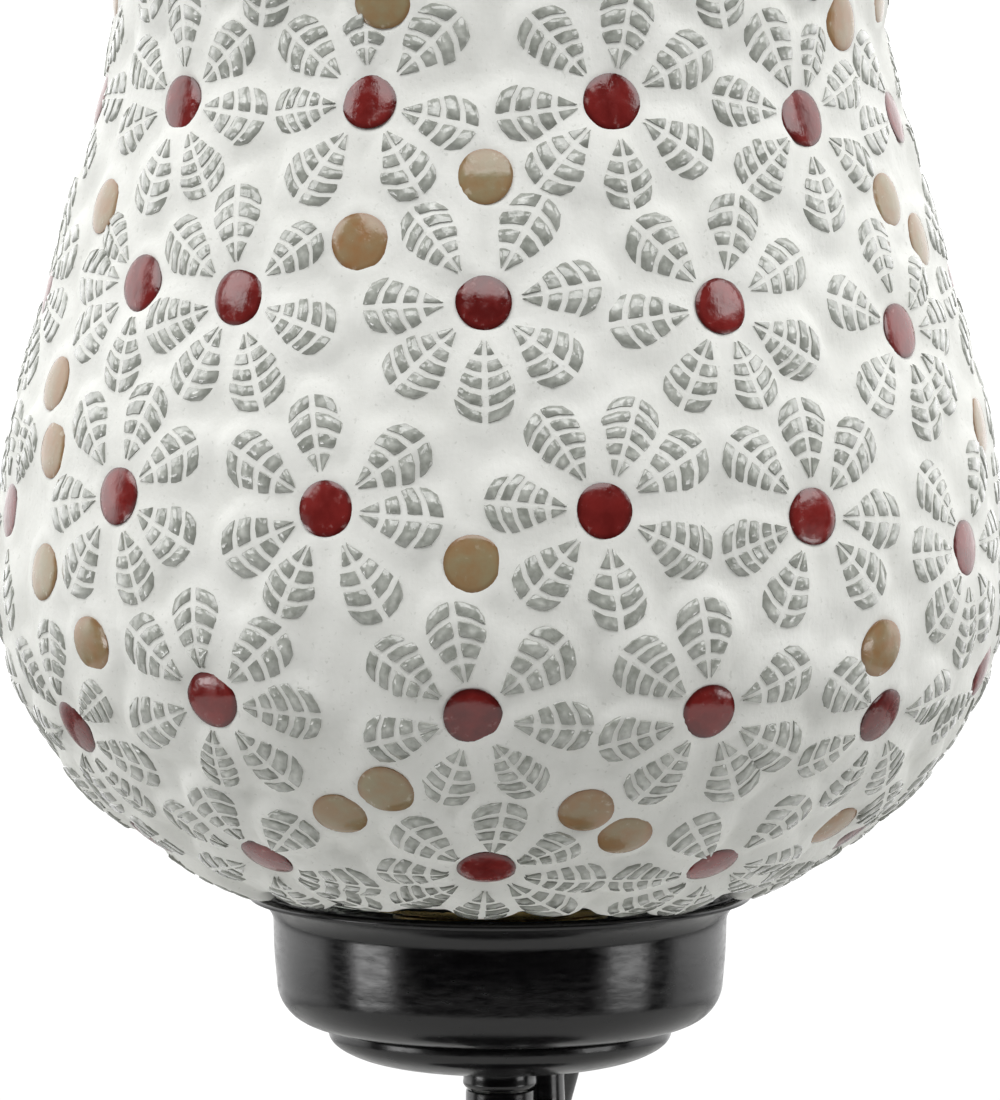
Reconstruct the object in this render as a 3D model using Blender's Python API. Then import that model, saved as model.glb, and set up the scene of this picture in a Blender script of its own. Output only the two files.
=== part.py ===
"""Mosaic glass table lamp: a plaster and glass shade standing in a black metal cup on a slim stem.

Run with: blender --background --python part.py

Metres, +Z up.  The origin is on the lamp's axis, on the surface that it stands on.  Every turned
piece is on the Z axis.  The lamp's front faces -Y, and its cord grommet is at the rear, at +Y.
"""

import math

import bmesh
import bpy
from mathutils import Matrix, Vector

MM = 0.001
GAP = 0.3 * MM                 # clearance between pieces that touch
ROUND_STEPS = 36               # facets round the large turned pieces
MIDDLE_STEPS = 24              # facets round the holder and the bulb
SMALL_STEPS = 16               # facets round the small turned pieces
PIN_STEPS = 12                 # facets round pins, screws and contacts

# ---- driving dimensions ------------------------------------------------------------------------
RIM_Z = 172.0 * MM             # height of the cup's flange above the table
SHADE_HEIGHT = 168.0 * MM      # from the flange to the top of the shade

FELT_THICKNESS = 2.0 * MM
FELT_RADIUS = 56.0 * MM
BASE_RADIUS = 60.0 * MM
BASE_SKIRT_TOP = 12.5 * MM     # where the skirt turns into the dome
BASE_TOP = 22.0 * MM
BASE_FLAT_RADIUS = 30.0 * MM   # flat top that the collar and the stalks stand on
BASE_WALL = 1.0 * MM
BASE_RIM_Z = 1.2 * MM          # the metal rim stands clear of the table, on the felt
BALLAST_RADIUS = 53.5 * MM
BALLAST_EDGE_TOP = 13.0 * MM
BALLAST_TOP = 19.5 * MM
NUT_POCKET_RADIUS = 12.0 * MM
NUT_POCKET_TOP = 8.5 * MM
CORD_CHANNEL = 7.0 * MM        # width of the channel for the cord in the ballast's underside
CORD_CHANNEL_TOP = 9.4 * MM
GROMMET_Z = 6.9 * MM
GROMMET_BORE = 3.1 * MM
GROMMET_HOLE = 4.4 * MM

ROD_RADIUS = 4.0 * MM          # hollow threaded rod that clamps the whole stem
ROD_BORE = 3.1 * MM
ROD_CLEARANCE = ROD_RADIUS + GAP
ROD_FOOT = 3.2 * MM
ROD_TOP_H = -9.0 * MM          # the rod ends inside the lampholder, under its insulator
STEM_RADIUS = 5.0 * MM
COLLAR_HEIGHT = 3.6 * MM
STALK_RADIUS = 3.5 * MM

NUT_FLATS = 13.0 * MM           # across the flats of both nuts
FOOT_NUT_HEIGHT = 3.4 * MM
LOCK_NUT_HEIGHT = 2.8 * MM
WASHER_RADIUS = 10.0 * MM
WASHER_THICKNESS = 1.2 * MM
FOOT_COLLAR_HEIGHT = 6.0 * MM
DISH_HEIGHT = 5.6 * MM
# radius and height over its foot along the side of the dish, in millimetres
DISH_SIDE = [(13.0, 0.0), (18.0, 0.4), (21.5, 1.3), (24.0, 2.6), (25.0, 3.8), (25.1, 5.6)]
CUP_DEPTH = 19.2 * MM
CUP_WALL = 1.0 * MM
CUP_RADIUS = 32.5 * MM         # at the top of the rounded bottom corner
CUP_NECK_RADIUS = 33.0 * MM    # where the wall turns out into the flange
CUP_CORNER = 6.2 * MM
FLANGE_RADIUS = 36.6 * MM
FLANGE_HEIGHT = 4.3 * MM

SHADE_WIDEST = 73.2 * MM       # radius of the plaster at its widest
SHADE_WIDEST_H = 47.0 * MM     # height of that circle above the flange
SHADE_UNDER_DEPTH = 53.5 * MM  # half ellipse below the widest circle
PLASTER_FOOT_RADIUS = 33.0 * MM
PLASTER_THICKNESS = 2.5 * MM
GLASS_THICKNESS = 2.5 * MM
FITTER_RADIUS = 29.5 * MM      # plain glass neck that stands in the cup
FITTER_FOOT_H = -15.2 * MM
# Radius and height above the flange of the plaster, from the widest circle up to the open mouth.
SHADE_UPPER = [(73.2, 47.0), (70.6, 69.0), (66.0, 85.5), (61.2, 103.0), (56.6, 119.0),
               (55.5, 132.0), (57.2, 150.0), (60.6, 167.0)]

HOLDER_CAP_RADIUS = 15.5 * MM
HOLDER_CAP_FOOT_H = -13.3 * MM
HOLDER_CAP_TOP_H = -1.0 * MM
HOLDER_RADIUS = 14.0 * MM
HOLDER_BORE = 12.8 * MM
HOLDER_TOP_H = 26.0 * MM
INSULATOR_RADIUS = 12.5 * MM
INSULATOR_FOOT_H = -6.0 * MM
INSULATOR_TOP_H = 4.0 * MM
CONTACT_OFFSET = 4.3 * MM      # of each contact from the axis, along Y
PLUNGER_RADIUS = 1.6 * MM
PLUNGER_WELL = 2.6 * MM
PLUNGER_TOP_H = 7.4 * MM
PLUNGER_COLLAR_TOP_H = 1.5 * MM
SPRING_TURNS = 4

BULB_CAP_RADIUS = 11.0 * MM
BULB_CAP_FOOT_H = 9.0 * MM
BULB_CAP_TOP_H = 34.0 * MM
BULB_RADIUS = 22.5 * MM
BULB_CENTRE_H = 63.5 * MM
BULB_WALL = 0.8 * MM
BULB_NECK_RADIUS = 10.2 * MM
PIN_RADIUS = 1.0 * MM
PIN_REACH = 13.4 * MM
PIN_H = 15.5 * MM
SLOT_WIDTH = 2.8 * MM


# ---- scene and materials -----------------------------------------------------------------------
def clear_scene():
    """Remove every object that the file starts with."""
    for item in list(bpy.data.objects):
        bpy.data.objects.remove(item, do_unlink=True)


def paint(item, colour, roughness, metallic=0.0, transmission=0.0):
    """Give an object its own Principled material."""
    material = bpy.data.materials.new(item.name)
    material.use_nodes = True
    shader = material.node_tree.nodes["Principled BSDF"]
    shader.inputs["Base Color"].default_value = (*colour, 1.0)
    shader.inputs["Roughness"].default_value = roughness
    shader.inputs["Metallic"].default_value = metallic
    shader.inputs["Transmission Weight"].default_value = transmission
    item.data.materials.clear()
    item.data.materials.append(material)


BLACK = dict(colour=(0.012, 0.012, 0.013), roughness=0.22)
STEEL = dict(colour=(0.60, 0.60, 0.62), roughness=0.35, metallic=1.0)
BRASS = dict(colour=(0.70, 0.50, 0.22), roughness=0.30, metallic=1.0)
RUBBER = dict(colour=(0.03, 0.03, 0.03), roughness=0.8)
CLEAR = dict(colour=(0.95, 0.96, 0.95), roughness=0.05, transmission=0.9)


# ---- shape helpers -----------------------------------------------------------------------------
def to_object(bm, name):
    """Turn a bmesh into a linked object with outward faces, smooth on its round sides."""
    bmesh.ops.recalc_face_normals(bm, faces=bm.faces)
    mesh = bpy.data.meshes.new(name)
    bm.to_mesh(mesh)
    bm.free()
    mesh.shade_smooth()
    mesh.set_sharp_from_angle(angle=math.radians(35))
    item = bpy.data.objects.new(name, mesh)
    bpy.context.collection.objects.link(item)
    return item


def turned(name, outline, steps=ROUND_STEPS, lift=0.0):
    """Spin a closed outline of (radius, height) points round the Z axis."""
    bm = bmesh.new()
    points = [bm.verts.new((radius, 0.0, height + lift)) for radius, height in outline]
    edges = [bm.edges.new((a, b)) for a, b in zip(points, points[1:] + points[:1])]
    bmesh.ops.spin(bm, geom=points + edges, cent=(0, 0, 0), axis=(0, 0, 1),
                   angle=2 * math.pi, steps=steps, use_merge=True)
    bmesh.ops.remove_doubles(bm, verts=bm.verts, dist=1e-7)
    bmesh.ops.dissolve_degenerate(bm, edges=bm.edges, dist=1e-8)
    return to_object(bm, name)


def arc(centre, radius, start, end, steps):
    """Points on a circle in the (radius, height) plane; angles in degrees from +radius."""
    turn = [math.radians(start + (end - start) * i / steps) for i in range(steps + 1)]
    return [(centre[0] + radius * math.cos(t), centre[1] + radius * math.sin(t)) for t in turn]


def ring(inner, outer, low, high):
    """The outline of a flat ring."""
    return [(inner, low), (outer, low), (outer, high), (inner, high)]


def cutter(name, bm):
    """A hidden tool that only Boolean modifiers use."""
    item = to_object(bm, name)
    item.hide_render = True
    item.display_type = 'WIRE'
    return item


def box_cutter(name, low, high):
    """A box-shaped tool between two corners."""
    bm = bmesh.new()
    low, high = Vector(low), Vector(high)
    size = high - low
    place = Matrix.Translation((low + high) / 2) @ Matrix.Diagonal((*size, 1.0))
    bmesh.ops.create_cube(bm, size=1.0, matrix=place)
    return cutter(name, bm)


def round_cutter(name, centre, radius, length, axis='Z', steps=SMALL_STEPS):
    """A cylinder-shaped tool along Y or Z."""
    bm = bmesh.new()
    place = Matrix.Translation(centre)
    if axis == 'Y':
        place = place @ Matrix.Rotation(math.radians(90), 4, 'X')
    bmesh.ops.create_cone(bm, cap_ends=True, segments=steps, radius1=radius, radius2=radius,
                          depth=length, matrix=place)
    return cutter(name, bm)


def cut(item, tool):
    """Take the tool's shape away from the object."""
    modifier = item.modifiers.new(tool.name, 'BOOLEAN')
    modifier.operation = 'DIFFERENCE'
    modifier.solver = 'EXACT'
    modifier.object = tool


def inset_line(line, depth):
    """The line moved inwards by a depth, square to itself; the line runs upwards."""
    moved = []
    for i, point in enumerate(line):
        before = Vector(line[max(i - 1, 0)])
        after = Vector(line[min(i + 1, len(line) - 1)])
        along = (after - before).normalized()
        moved.append((point[0] - along.y * depth, point[1] + along.x * depth))
    return moved


def tube(name, points, radius, resolution=2):
    """A round rod with closed ends along a list of points."""
    curve = bpy.data.curves.new(name, 'CURVE')
    curve.dimensions = '3D'
    curve.bevel_depth = radius
    curve.bevel_resolution = resolution
    curve.use_fill_caps = True
    spline = curve.splines.new('POLY')
    spline.points.add(len(points) - 1)
    for slot, point in zip(spline.points, points):
        slot.co = (*point, 1.0)
    item = bpy.data.objects.new(name, curve)
    bpy.context.collection.objects.link(item)
    return item


def hex_nut(name, flats, bore, low, high):
    """A hexagon nut on the Z axis."""
    bm = bmesh.new()
    corner = flats / math.sqrt(3)
    bmesh.ops.create_cone(bm, cap_ends=True, segments=6, radius1=corner, radius2=corner,
                          depth=high - low, matrix=Matrix.Translation((0, 0, (low + high) / 2)))
    nut = to_object(bm, name)
    cut(nut, round_cutter(name + "_bore", (0, 0, (low + high) / 2), bore, 3 * (high - low)))
    return nut


# ---- base --------------------------------------------------------------------------------------
def make_base():
    """The weighted foot: felt, ballast, spun cover, grommet, and what clamps them."""
    felt = turned("felt_pad", ring(NUT_POCKET_RADIUS, FELT_RADIUS, 0.0, FELT_THICKNESS))
    paint(felt, (0.05, 0.07, 0.06), 0.95)

    ballast_foot = FELT_THICKNESS + GAP
    ballast = turned("ballast_weight", [
        (NUT_POCKET_RADIUS, ballast_foot), (BALLAST_RADIUS, ballast_foot),
        (BALLAST_RADIUS, BALLAST_EDGE_TOP), (BALLAST_RADIUS - 3.5 * MM, 15.5 * MM),
        (40 * MM, 18 * MM), (BASE_FLAT_RADIUS, BALLAST_TOP),
        (ROD_CLEARANCE, BALLAST_TOP), (ROD_CLEARANCE, NUT_POCKET_TOP),
        (NUT_POCKET_RADIUS, NUT_POCKET_TOP)])
    half = CORD_CHANNEL / 2
    cut(ballast, box_cutter("cord_channel", (-half, NUT_POCKET_RADIUS - 2 * MM, 0.0),
                            (half, BASE_RADIUS, CORD_CHANNEL_TOP)))
    paint(ballast, (0.10, 0.10, 0.10), 0.7, 1.0)

    skirt = BASE_RADIUS
    shoulder = arc((skirt - 6 * MM, BASE_SKIRT_TOP), 6 * MM, 0, 60, 3)
    hub = BASE_FLAT_RADIUS
    crown = [(hub + (shoulder[-1][0] - hub) * (1 - t),
              shoulder[-1][1] + (BASE_TOP - shoulder[-1][1]) * (1 - math.cos(math.pi * t)) / 2)
             for t in (0.3, 0.65, 1.0)]
    outside = [(skirt, BASE_RIM_Z)] + shoulder + crown + [(ROD_CLEARANCE, BASE_TOP)]
    inside = inset_line(outside, BASE_WALL)
    inside[-1] = (ROD_CLEARANCE, BASE_TOP - BASE_WALL)
    cover = turned("base_cover", outside + inside[::-1])
    cut(cover, round_cutter("grommet_hole", (0, skirt, GROMMET_Z), GROMMET_HOLE, 12 * MM, 'Y'))
    paint(cover, **BLACK)

    face = skirt + GAP
    grommet = turned("cord_grommet", [
        (GROMMET_BORE, -4.0 * MM), (5.0 * MM, -4.0 * MM), (5.0 * MM, -2.2 * MM),
        (GROMMET_HOLE - GAP, -2.2 * MM), (GROMMET_HOLE - GAP, 0.0), (5.4 * MM, 0.0),
        (5.0 * MM, 1.4 * MM),
        (GROMMET_BORE, 1.4 * MM)], SMALL_STEPS)
    grommet.location = (0, face, GROMMET_Z)
    grommet.rotation_euler = (math.radians(-90), 0, 0)
    paint(grommet, **RUBBER)

    washer_top = NUT_POCKET_TOP - GAP
    washer = turned("foot_washer", ring(ROD_CLEARANCE, WASHER_RADIUS,
                                        washer_top - WASHER_THICKNESS, washer_top),
                    SMALL_STEPS)
    paint(washer, **STEEL)
    nut_top = washer_top - WASHER_THICKNESS - GAP
    nut = hex_nut("foot_nut", NUT_FLATS, ROD_CLEARANCE, nut_top - FOOT_NUT_HEIGHT, nut_top)
    paint(nut, **STEEL)

    collar_foot = BASE_TOP + GAP
    collar = turned("foot_collar", [
        (ROD_CLEARANCE, collar_foot), (9.5 * MM, collar_foot), (9.5 * MM, collar_foot + 1.6 * MM),
        (7.2 * MM, collar_foot + 3.6 * MM), (6.6 * MM, collar_foot + FOOT_COLLAR_HEIGHT),
        (ROD_CLEARANCE, collar_foot + FOOT_COLLAR_HEIGHT)])
    paint(collar, **BLACK)
    return collar_foot + FOOT_COLLAR_HEIGHT


# ---- stem --------------------------------------------------------------------------------------
def stalk_line(top, foot, lean, low, high):
    """A gently curved route between two (x, y) places; lean is the slope at the top."""
    steps = 12
    line = []
    for i in range(steps + 1):
        t = i / steps
        ease = t * t * (3 - 2 * t)
        swing = lean * (high - low) * t * (1 - t) ** 2
        line.append((top[0] + (foot[0] - top[0]) * ease + swing,
                     top[1] + (foot[1] - top[1]) * ease, high - (high - low) * t))
    return line


def make_stem(collar_top):
    """The clamping rod, the tube that covers it, and the two stalks beside it."""
    rod = turned("threaded_rod", ring(ROD_BORE, ROD_RADIUS, ROD_FOOT, RIM_Z + ROD_TOP_H),
                 SMALL_STEPS)
    paint(rod, **STEEL)

    dish_foot = RIM_Z - CUP_DEPTH - GAP - DISH_HEIGHT
    collar_high = dish_foot - GAP
    collar_low = collar_high - COLLAR_HEIGHT
    tube_wall = ring(ROD_CLEARANCE, STEM_RADIUS, collar_top + GAP, collar_low - GAP)
    paint(turned("stem_tube", tube_wall, SMALL_STEPS), **BLACK)
    bead = turned("stem_top_collar", [
        (ROD_CLEARANCE, collar_low), (STEM_RADIUS, collar_low),
        (STEM_RADIUS + 0.3 * MM, collar_low + 0.6 * MM),
        (STEM_RADIUS + 0.3 * MM, collar_high - 0.6 * MM), (STEM_RADIUS, collar_high),
        (ROD_CLEARANCE, collar_high)], SMALL_STEPS)
    paint(bead, **BLACK)

    foot_z = BASE_TOP + GAP
    right = stalk_line((5.9 * MM, 6.7 * MM), (23 * MM, 8.0 * MM), 0.0, foot_z, collar_high)
    tilt_room = STALK_RADIUS * 0.3
    left = stalk_line((8.8 * MM, 14.0 * MM), (-22 * MM, 14.0 * MM), -0.26, foot_z,
                      collar_high - tilt_room)
    paint(tube("side_stalk_right", right, STALK_RADIUS), **BLACK)
    paint(tube("side_stalk_left", left, STALK_RADIUS), **BLACK)


# ---- cup ---------------------------------------------------------------------------------------
def make_cup():
    """The dish, the cup that the shade stands in, and its washer, nut and gasket."""
    foot = -CUP_DEPTH - GAP - DISH_HEIGHT
    outer = [(ROD_CLEARANCE, foot)] + [(r * MM, foot + h * MM) for r, h in DISH_SIDE]
    inner = inset_line(outer, CUP_WALL)
    inner[0] = (ROD_CLEARANCE, foot + CUP_WALL)
    inner[-1] = (outer[-1][0] - CUP_WALL, outer[-1][1])
    dish = turned("cup_dish", outer + inner[::-1], lift=RIM_Z)
    paint(dish, **BLACK)

    flat = CUP_RADIUS - CUP_CORNER
    corner = arc((flat, CUP_CORNER - CUP_DEPTH), CUP_CORNER, -90, 0, 4)
    flare_steps = 3
    flare = [(CUP_NECK_RADIUS + (FLANGE_RADIUS - CUP_NECK_RADIUS) * (i / flare_steps) ** 2,
              -FLANGE_HEIGHT * (1 - i / flare_steps)) for i in range(flare_steps + 1)]
    outside = [(ROD_CLEARANCE, -CUP_DEPTH)] + corner + flare
    inside = inset_line(outside, CUP_WALL)
    inside[0] = (ROD_CLEARANCE, -CUP_DEPTH + CUP_WALL)
    inside[-1] = (FLANGE_RADIUS - CUP_WALL, 0.0)
    paint(turned("gallery_cup", outside + inside[::-1], lift=RIM_Z), **BLACK)

    floor = -CUP_DEPTH + CUP_WALL + GAP
    washer_top = floor + WASHER_THICKNESS
    washer = turned("cup_washer", ring(ROD_CLEARANCE, WASHER_RADIUS, floor, washer_top),
                    SMALL_STEPS, lift=RIM_Z)
    paint(washer, **STEEL)
    nut_low = RIM_Z + washer_top + GAP
    nut = hex_nut("cup_lock_nut", NUT_FLATS, ROD_CLEARANCE, nut_low, nut_low + LOCK_NUT_HEIGHT)
    paint(nut, **STEEL)
    under = arc((flat, CUP_CORNER - CUP_DEPTH), CUP_CORNER - CUP_WALL - GAP, -90, -45, 2)
    gasket_top = FITTER_FOOT_H - GAP
    bore = flat + 0.2 * MM
    gasket = turned("shade_gasket", under[1:] + [(under[-1][0], gasket_top), (bore, gasket_top),
                                                 (bore, floor)], lift=RIM_Z)
    paint(gasket, **RUBBER)


# ---- lampholder --------------------------------------------------------------------------------
def make_holder():
    """The bayonet lampholder on the top of the rod, with its sprung contacts."""
    low, top = HOLDER_CAP_FOOT_H, HOLDER_CAP_TOP_H
    wall = 1.2 * MM
    bend = 5.5 * MM
    outside = ([(ROD_CLEARANCE, low)]
               + arc((HOLDER_CAP_RADIUS - bend, low + bend), bend, -90, 0, 3)
               + [(HOLDER_CAP_RADIUS, top)])
    inside = inset_line(outside, wall)
    inside[0] = (ROD_CLEARANCE, low + wall)
    inside[-1] = (HOLDER_CAP_RADIUS - wall, top)
    cap = turned("holder_cap", outside + inside[::-1], MIDDLE_STEPS, RIM_Z)
    paint(cap, **BRASS)

    shell = turned("holder_shell", ring(HOLDER_BORE, HOLDER_RADIUS, -3.0 * MM, HOLDER_TOP_H),
                   MIDDLE_STEPS, RIM_Z)
    half = SLOT_WIDTH / 2
    slot_low = RIM_Z + PIN_H - half
    slot_high = RIM_Z + PIN_H + half
    for side, name in ((-1, "left"), (1, "right")):
        near, far = sorted((side * 11.5 * MM, side * 15.5 * MM))
        across = sorted((side * -half, side * 6.5 * MM))
        notch = sorted((side * 3.9 * MM, side * 6.5 * MM))
        cut(shell, box_cutter("entry_slot_" + name, (near, -half, slot_low),
                              (far, half, RIM_Z + HOLDER_TOP_H + 1 * MM)))
        cut(shell, box_cutter("turn_slot_" + name, (near, across[0], slot_low + 0.05 * MM),
                              (far, across[1], slot_high)))
        cut(shell, box_cutter("rest_notch_" + name, (near, notch[0], slot_high - 0.2 * MM),
                              (far, notch[1] - 0.05 * MM, slot_high + 1.6 * MM)))
    paint(shell, **BRASS)

    collar = turned("holder_ring", [
        (HOLDER_RADIUS + GAP, 0.2 * MM), (19 * MM, 0.2 * MM), (19 * MM, 1.8 * MM),
        (16.4 * MM, 2.4 * MM), (16.4 * MM, 6.0 * MM), (HOLDER_RADIUS + GAP, 6.0 * MM)],
        MIDDLE_STEPS, RIM_Z)
    paint(collar, **BRASS)

    block = turned("holder_insulator", [
        (0.0, INSULATOR_FOOT_H), (INSULATOR_RADIUS, INSULATOR_FOOT_H),
        (INSULATOR_RADIUS, INSULATOR_TOP_H), (0.0, INSULATOR_TOP_H)], MIDDLE_STEPS, RIM_Z)
    well_floor = INSULATOR_FOOT_H + 2.0 * MM
    for side, name in ((-1, "front"), (1, "rear")):
        y = side * CONTACT_OFFSET
        well_height = INSULATOR_TOP_H - well_floor + 1 * MM
        cut(block, round_cutter("well_" + name, (0, y, RIM_Z + well_floor + well_height / 2),
                                PLUNGER_WELL, well_height))
        cut(block, round_cutter("screw_hole_" + name,
                                (side * 7.5 * MM, 0, RIM_Z + INSULATOR_FOOT_H), 1.6 * MM,
                                10 * MM))
        make_contact(name, y, well_floor)
        screw = turned("terminal_screw_" + name, [
            (0.0, -2.2 * MM), (2.4 * MM, -2.2 * MM), (2.4 * MM, -GAP), (1.3 * MM, -GAP),
            (1.3 * MM, 3.6 * MM), (0.0, 3.6 * MM)], PIN_STEPS)
        screw.location = (side * 7.5 * MM, 0, RIM_Z + INSULATOR_FOOT_H)
        paint(screw, **BRASS)
    paint(block, (0.80, 0.79, 0.75), 0.35)


def make_contact(name, y, well_floor):
    """One contact plunger with its origin on its slide, and the spring below it."""
    collar_low = PLUNGER_COLLAR_TOP_H - 1.0 * MM
    plunger = turned("contact_plunger_" + name, [
        (0.0, collar_low), (2.3 * MM, collar_low), (2.3 * MM, PLUNGER_COLLAR_TOP_H),
        (PLUNGER_RADIUS, PLUNGER_COLLAR_TOP_H), (PLUNGER_RADIUS, PLUNGER_TOP_H - 0.6 * MM),
        (PLUNGER_RADIUS - 0.6 * MM, PLUNGER_TOP_H), (0.0, PLUNGER_TOP_H)], PIN_STEPS)
    plunger.location = (0, y, RIM_Z)
    paint(plunger, **BRASS)

    wire = 0.25 * MM
    low = well_floor + GAP + wire
    high = collar_low - GAP - wire
    steps = 9 * SPRING_TURNS
    coil = []
    for i in range(steps + 1):
        turn = 2 * math.pi * SPRING_TURNS * i / steps
        coil.append((1.9 * MM * math.cos(turn), y + 1.9 * MM * math.sin(turn),
                     RIM_Z + low + (high - low) * i / steps))
    paint(tube("plunger_spring_" + name, coil, wire, 0), **STEEL)


# ---- bulb --------------------------------------------------------------------------------------
def make_bulb():
    """A small round bayonet bulb, standing in the holder."""
    low, top = BULB_CAP_FOOT_H, BULB_CAP_TOP_H
    wall = 0.5 * MM
    cap = turned("bulb_cap", [
        (8.6 * MM, low), (BULB_CAP_RADIUS - 0.6 * MM, low), (BULB_CAP_RADIUS, low + 0.8 * MM),
        (BULB_CAP_RADIUS, top - 2 * MM), (BULB_CAP_RADIUS + 0.3 * MM, top),
        (BULB_CAP_RADIUS - wall + 0.3 * MM, top), (BULB_CAP_RADIUS - wall, top - 2 * MM),
        (BULB_CAP_RADIUS - wall, low + 1.3 * MM), (8.6 * MM, low + 1.3 * MM)],
        MIDDLE_STEPS, RIM_Z)
    paint(cap, **BRASS)

    plug = turned("bulb_insulator", [
        (0.0, low - 0.3 * MM), (8.2 * MM, low - 0.3 * MM), (8.2 * MM, low + 2.8 * MM),
        (0.0, low + 2.8 * MM)], SMALL_STEPS, RIM_Z)
    for side, name in ((-1, "front"), (1, "rear")):
        y = side * CONTACT_OFFSET
        cut(plug, round_cutter("contact_well_" + name, (0, y, RIM_Z + low), 2.3 * MM, 2.2 * MM))
        contact = turned("bulb_contact_" + name, [
            (0.0, low - 1.1 * MM), (1.2 * MM, low - 1.1 * MM), (1.9 * MM, low - 0.6 * MM),
            (1.9 * MM, low + 0.7 * MM), (0.0, low + 0.7 * MM)], PIN_STEPS)
        contact.location = (0, y, RIM_Z)
        paint(contact, (0.55, 0.56, 0.58), 0.35, 1.0)
    paint(plug, (0.02, 0.02, 0.025), 0.25)

    for side, name in ((-1, "left"), (1, "right")):
        start = BULB_CAP_RADIUS + GAP
        pin = turned("bayonet_pin_" + name, [
            (0.0, start), (PIN_RADIUS, start), (PIN_RADIUS, PIN_REACH - 0.3 * MM),
            (PIN_RADIUS - 0.3 * MM, PIN_REACH), (0.0, PIN_REACH)], PIN_STEPS)
        pin.location = (0, 0, RIM_Z + PIN_H)
        pin.rotation_euler = (0, side * math.radians(90), 0)
        paint(pin, **BRASS)

    neck_low = top - 8 * MM
    neck_meets = math.degrees(math.asin((BULB_NECK_RADIUS + 2.0 * MM) / BULB_RADIUS))
    outside = [(BULB_NECK_RADIUS, neck_low), (BULB_NECK_RADIUS, top + 2.0 * MM),
               (BULB_NECK_RADIUS + 0.5 * MM, top + 6.0 * MM)]
    outside += arc((0.0, BULB_CENTRE_H), BULB_RADIUS, -90 + neck_meets, 90, 8)[:-1]
    inside = inset_line(outside, BULB_WALL)
    inside[0] = (BULB_NECK_RADIUS - BULB_WALL, neck_low)
    globe = turned("bulb_glass", outside + [(0.0, BULB_CENTRE_H + BULB_RADIUS),
                                            (0.0, BULB_CENTRE_H + BULB_RADIUS - BULB_WALL)]
                   + inside[::-1], MIDDLE_STEPS, RIM_Z)
    paint(globe, (0.93, 0.93, 0.90), 0.35, transmission=0.5)

    stem_top = BULB_CENTRE_H - 12 * MM
    mount = turned("bulb_mount", [
        (0.0, neck_low), (8.8 * MM, neck_low), (8.8 * MM, neck_low + 1.2 * MM),
        (3.0 * MM, neck_low + 5 * MM), (2.2 * MM, stem_top - 2 * MM), (1.2 * MM, stem_top),
        (0.0, stem_top)], SMALL_STEPS, RIM_Z)
    paint(mount, **CLEAR)
    steps = 24
    loop = []
    for i in range(steps + 1):
        a = math.radians(-60 + 300 * i / steps)
        loop.append((9 * MM * math.cos(a), 9 * MM * math.sin(a),
                     RIM_Z + stem_top + GAP + 1.2 * MM + 2 * MM * math.sin(3 * a) ** 2))
    paint(tube("bulb_filament", loop, 0.25 * MM, 0), (0.30, 0.30, 0.32), 0.4, 1.0)


# ---- shade -------------------------------------------------------------------------------------
def shade_outline():
    """The plaster's outer line, from its foot in the cup up to the mouth."""
    def under(radius):
        return SHADE_WIDEST_H - SHADE_UNDER_DEPTH * math.sqrt(1 - (radius / SHADE_WIDEST) ** 2)

    start = math.asin(PLASTER_FOOT_RADIUS / SHADE_WIDEST)
    steps = 6
    line = []
    for i in range(steps):
        t = start + (math.pi / 2 - start) * i / steps
        radius = SHADE_WIDEST * math.sin(t)
        line.append((radius, under(radius)))
    return line + [(radius * MM, height * MM) for radius, height in SHADE_UPPER]


def make_shade():
    """The blown glass bowl and the plaster coat that holds the mosaic on it."""
    outer = shade_outline()
    backing = inset_line(outer, PLASTER_THICKNESS)
    coat = turned("plaster_coat", outer + backing[::-1], lift=RIM_Z)
    paint(coat, (0.78, 0.78, 0.74), 0.8)

    front = inset_line(outer, PLASTER_THICKNESS + GAP)
    back = inset_line(outer, PLASTER_THICKNESS + GAP + GLASS_THICKNESS)
    bore = FITTER_RADIUS - GLASS_THICKNESS
    lip = SHADE_HEIGHT
    outline = [(FITTER_RADIUS, FITTER_FOOT_H), (FITTER_RADIUS, 0.0),
               (FITTER_RADIUS + 0.7 * MM, 1.2 * MM)]
    outline += front[:-1]
    outline += [(front[-1][0], lip - 0.8 * MM), (front[-1][0] - 0.8 * MM, lip),
                (back[-1][0] + 0.8 * MM, lip), (back[-1][0], lip - 0.8 * MM)]
    outline += back[-2::-1]
    outline += [(bore + 1.4 * MM, 3.2 * MM), (bore, 1.5 * MM), (bore, FITTER_FOOT_H)]
    paint(turned("shade_glass", outline, lift=RIM_Z), **CLEAR)


def main():
    """Build every piece of the lamp."""
    clear_scene()
    collar_top = make_base()
    make_stem(collar_top)
    make_cup()
    make_holder()
    make_bulb()
    make_shade()


main()
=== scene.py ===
"""Looks of the mosaic glass table lamp.

A shade of glass and plaster stands in a black metal cup on a slim stem.  Every piece is in
metres, in the same frame as the CAD model: +Z up, the lamp's front faces -Y.  The shade's plaster
is one turned skin with a mound round each pressed-glass leaf, and the leaves and beads stand
in it.  The rest of the lamp is turned or swept metal round the same axis.
"""
import itertools
import logging
import math
from collections.abc import Callable, Iterable, Sequence
from dataclasses import dataclass, field
from enum import Enum

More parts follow.
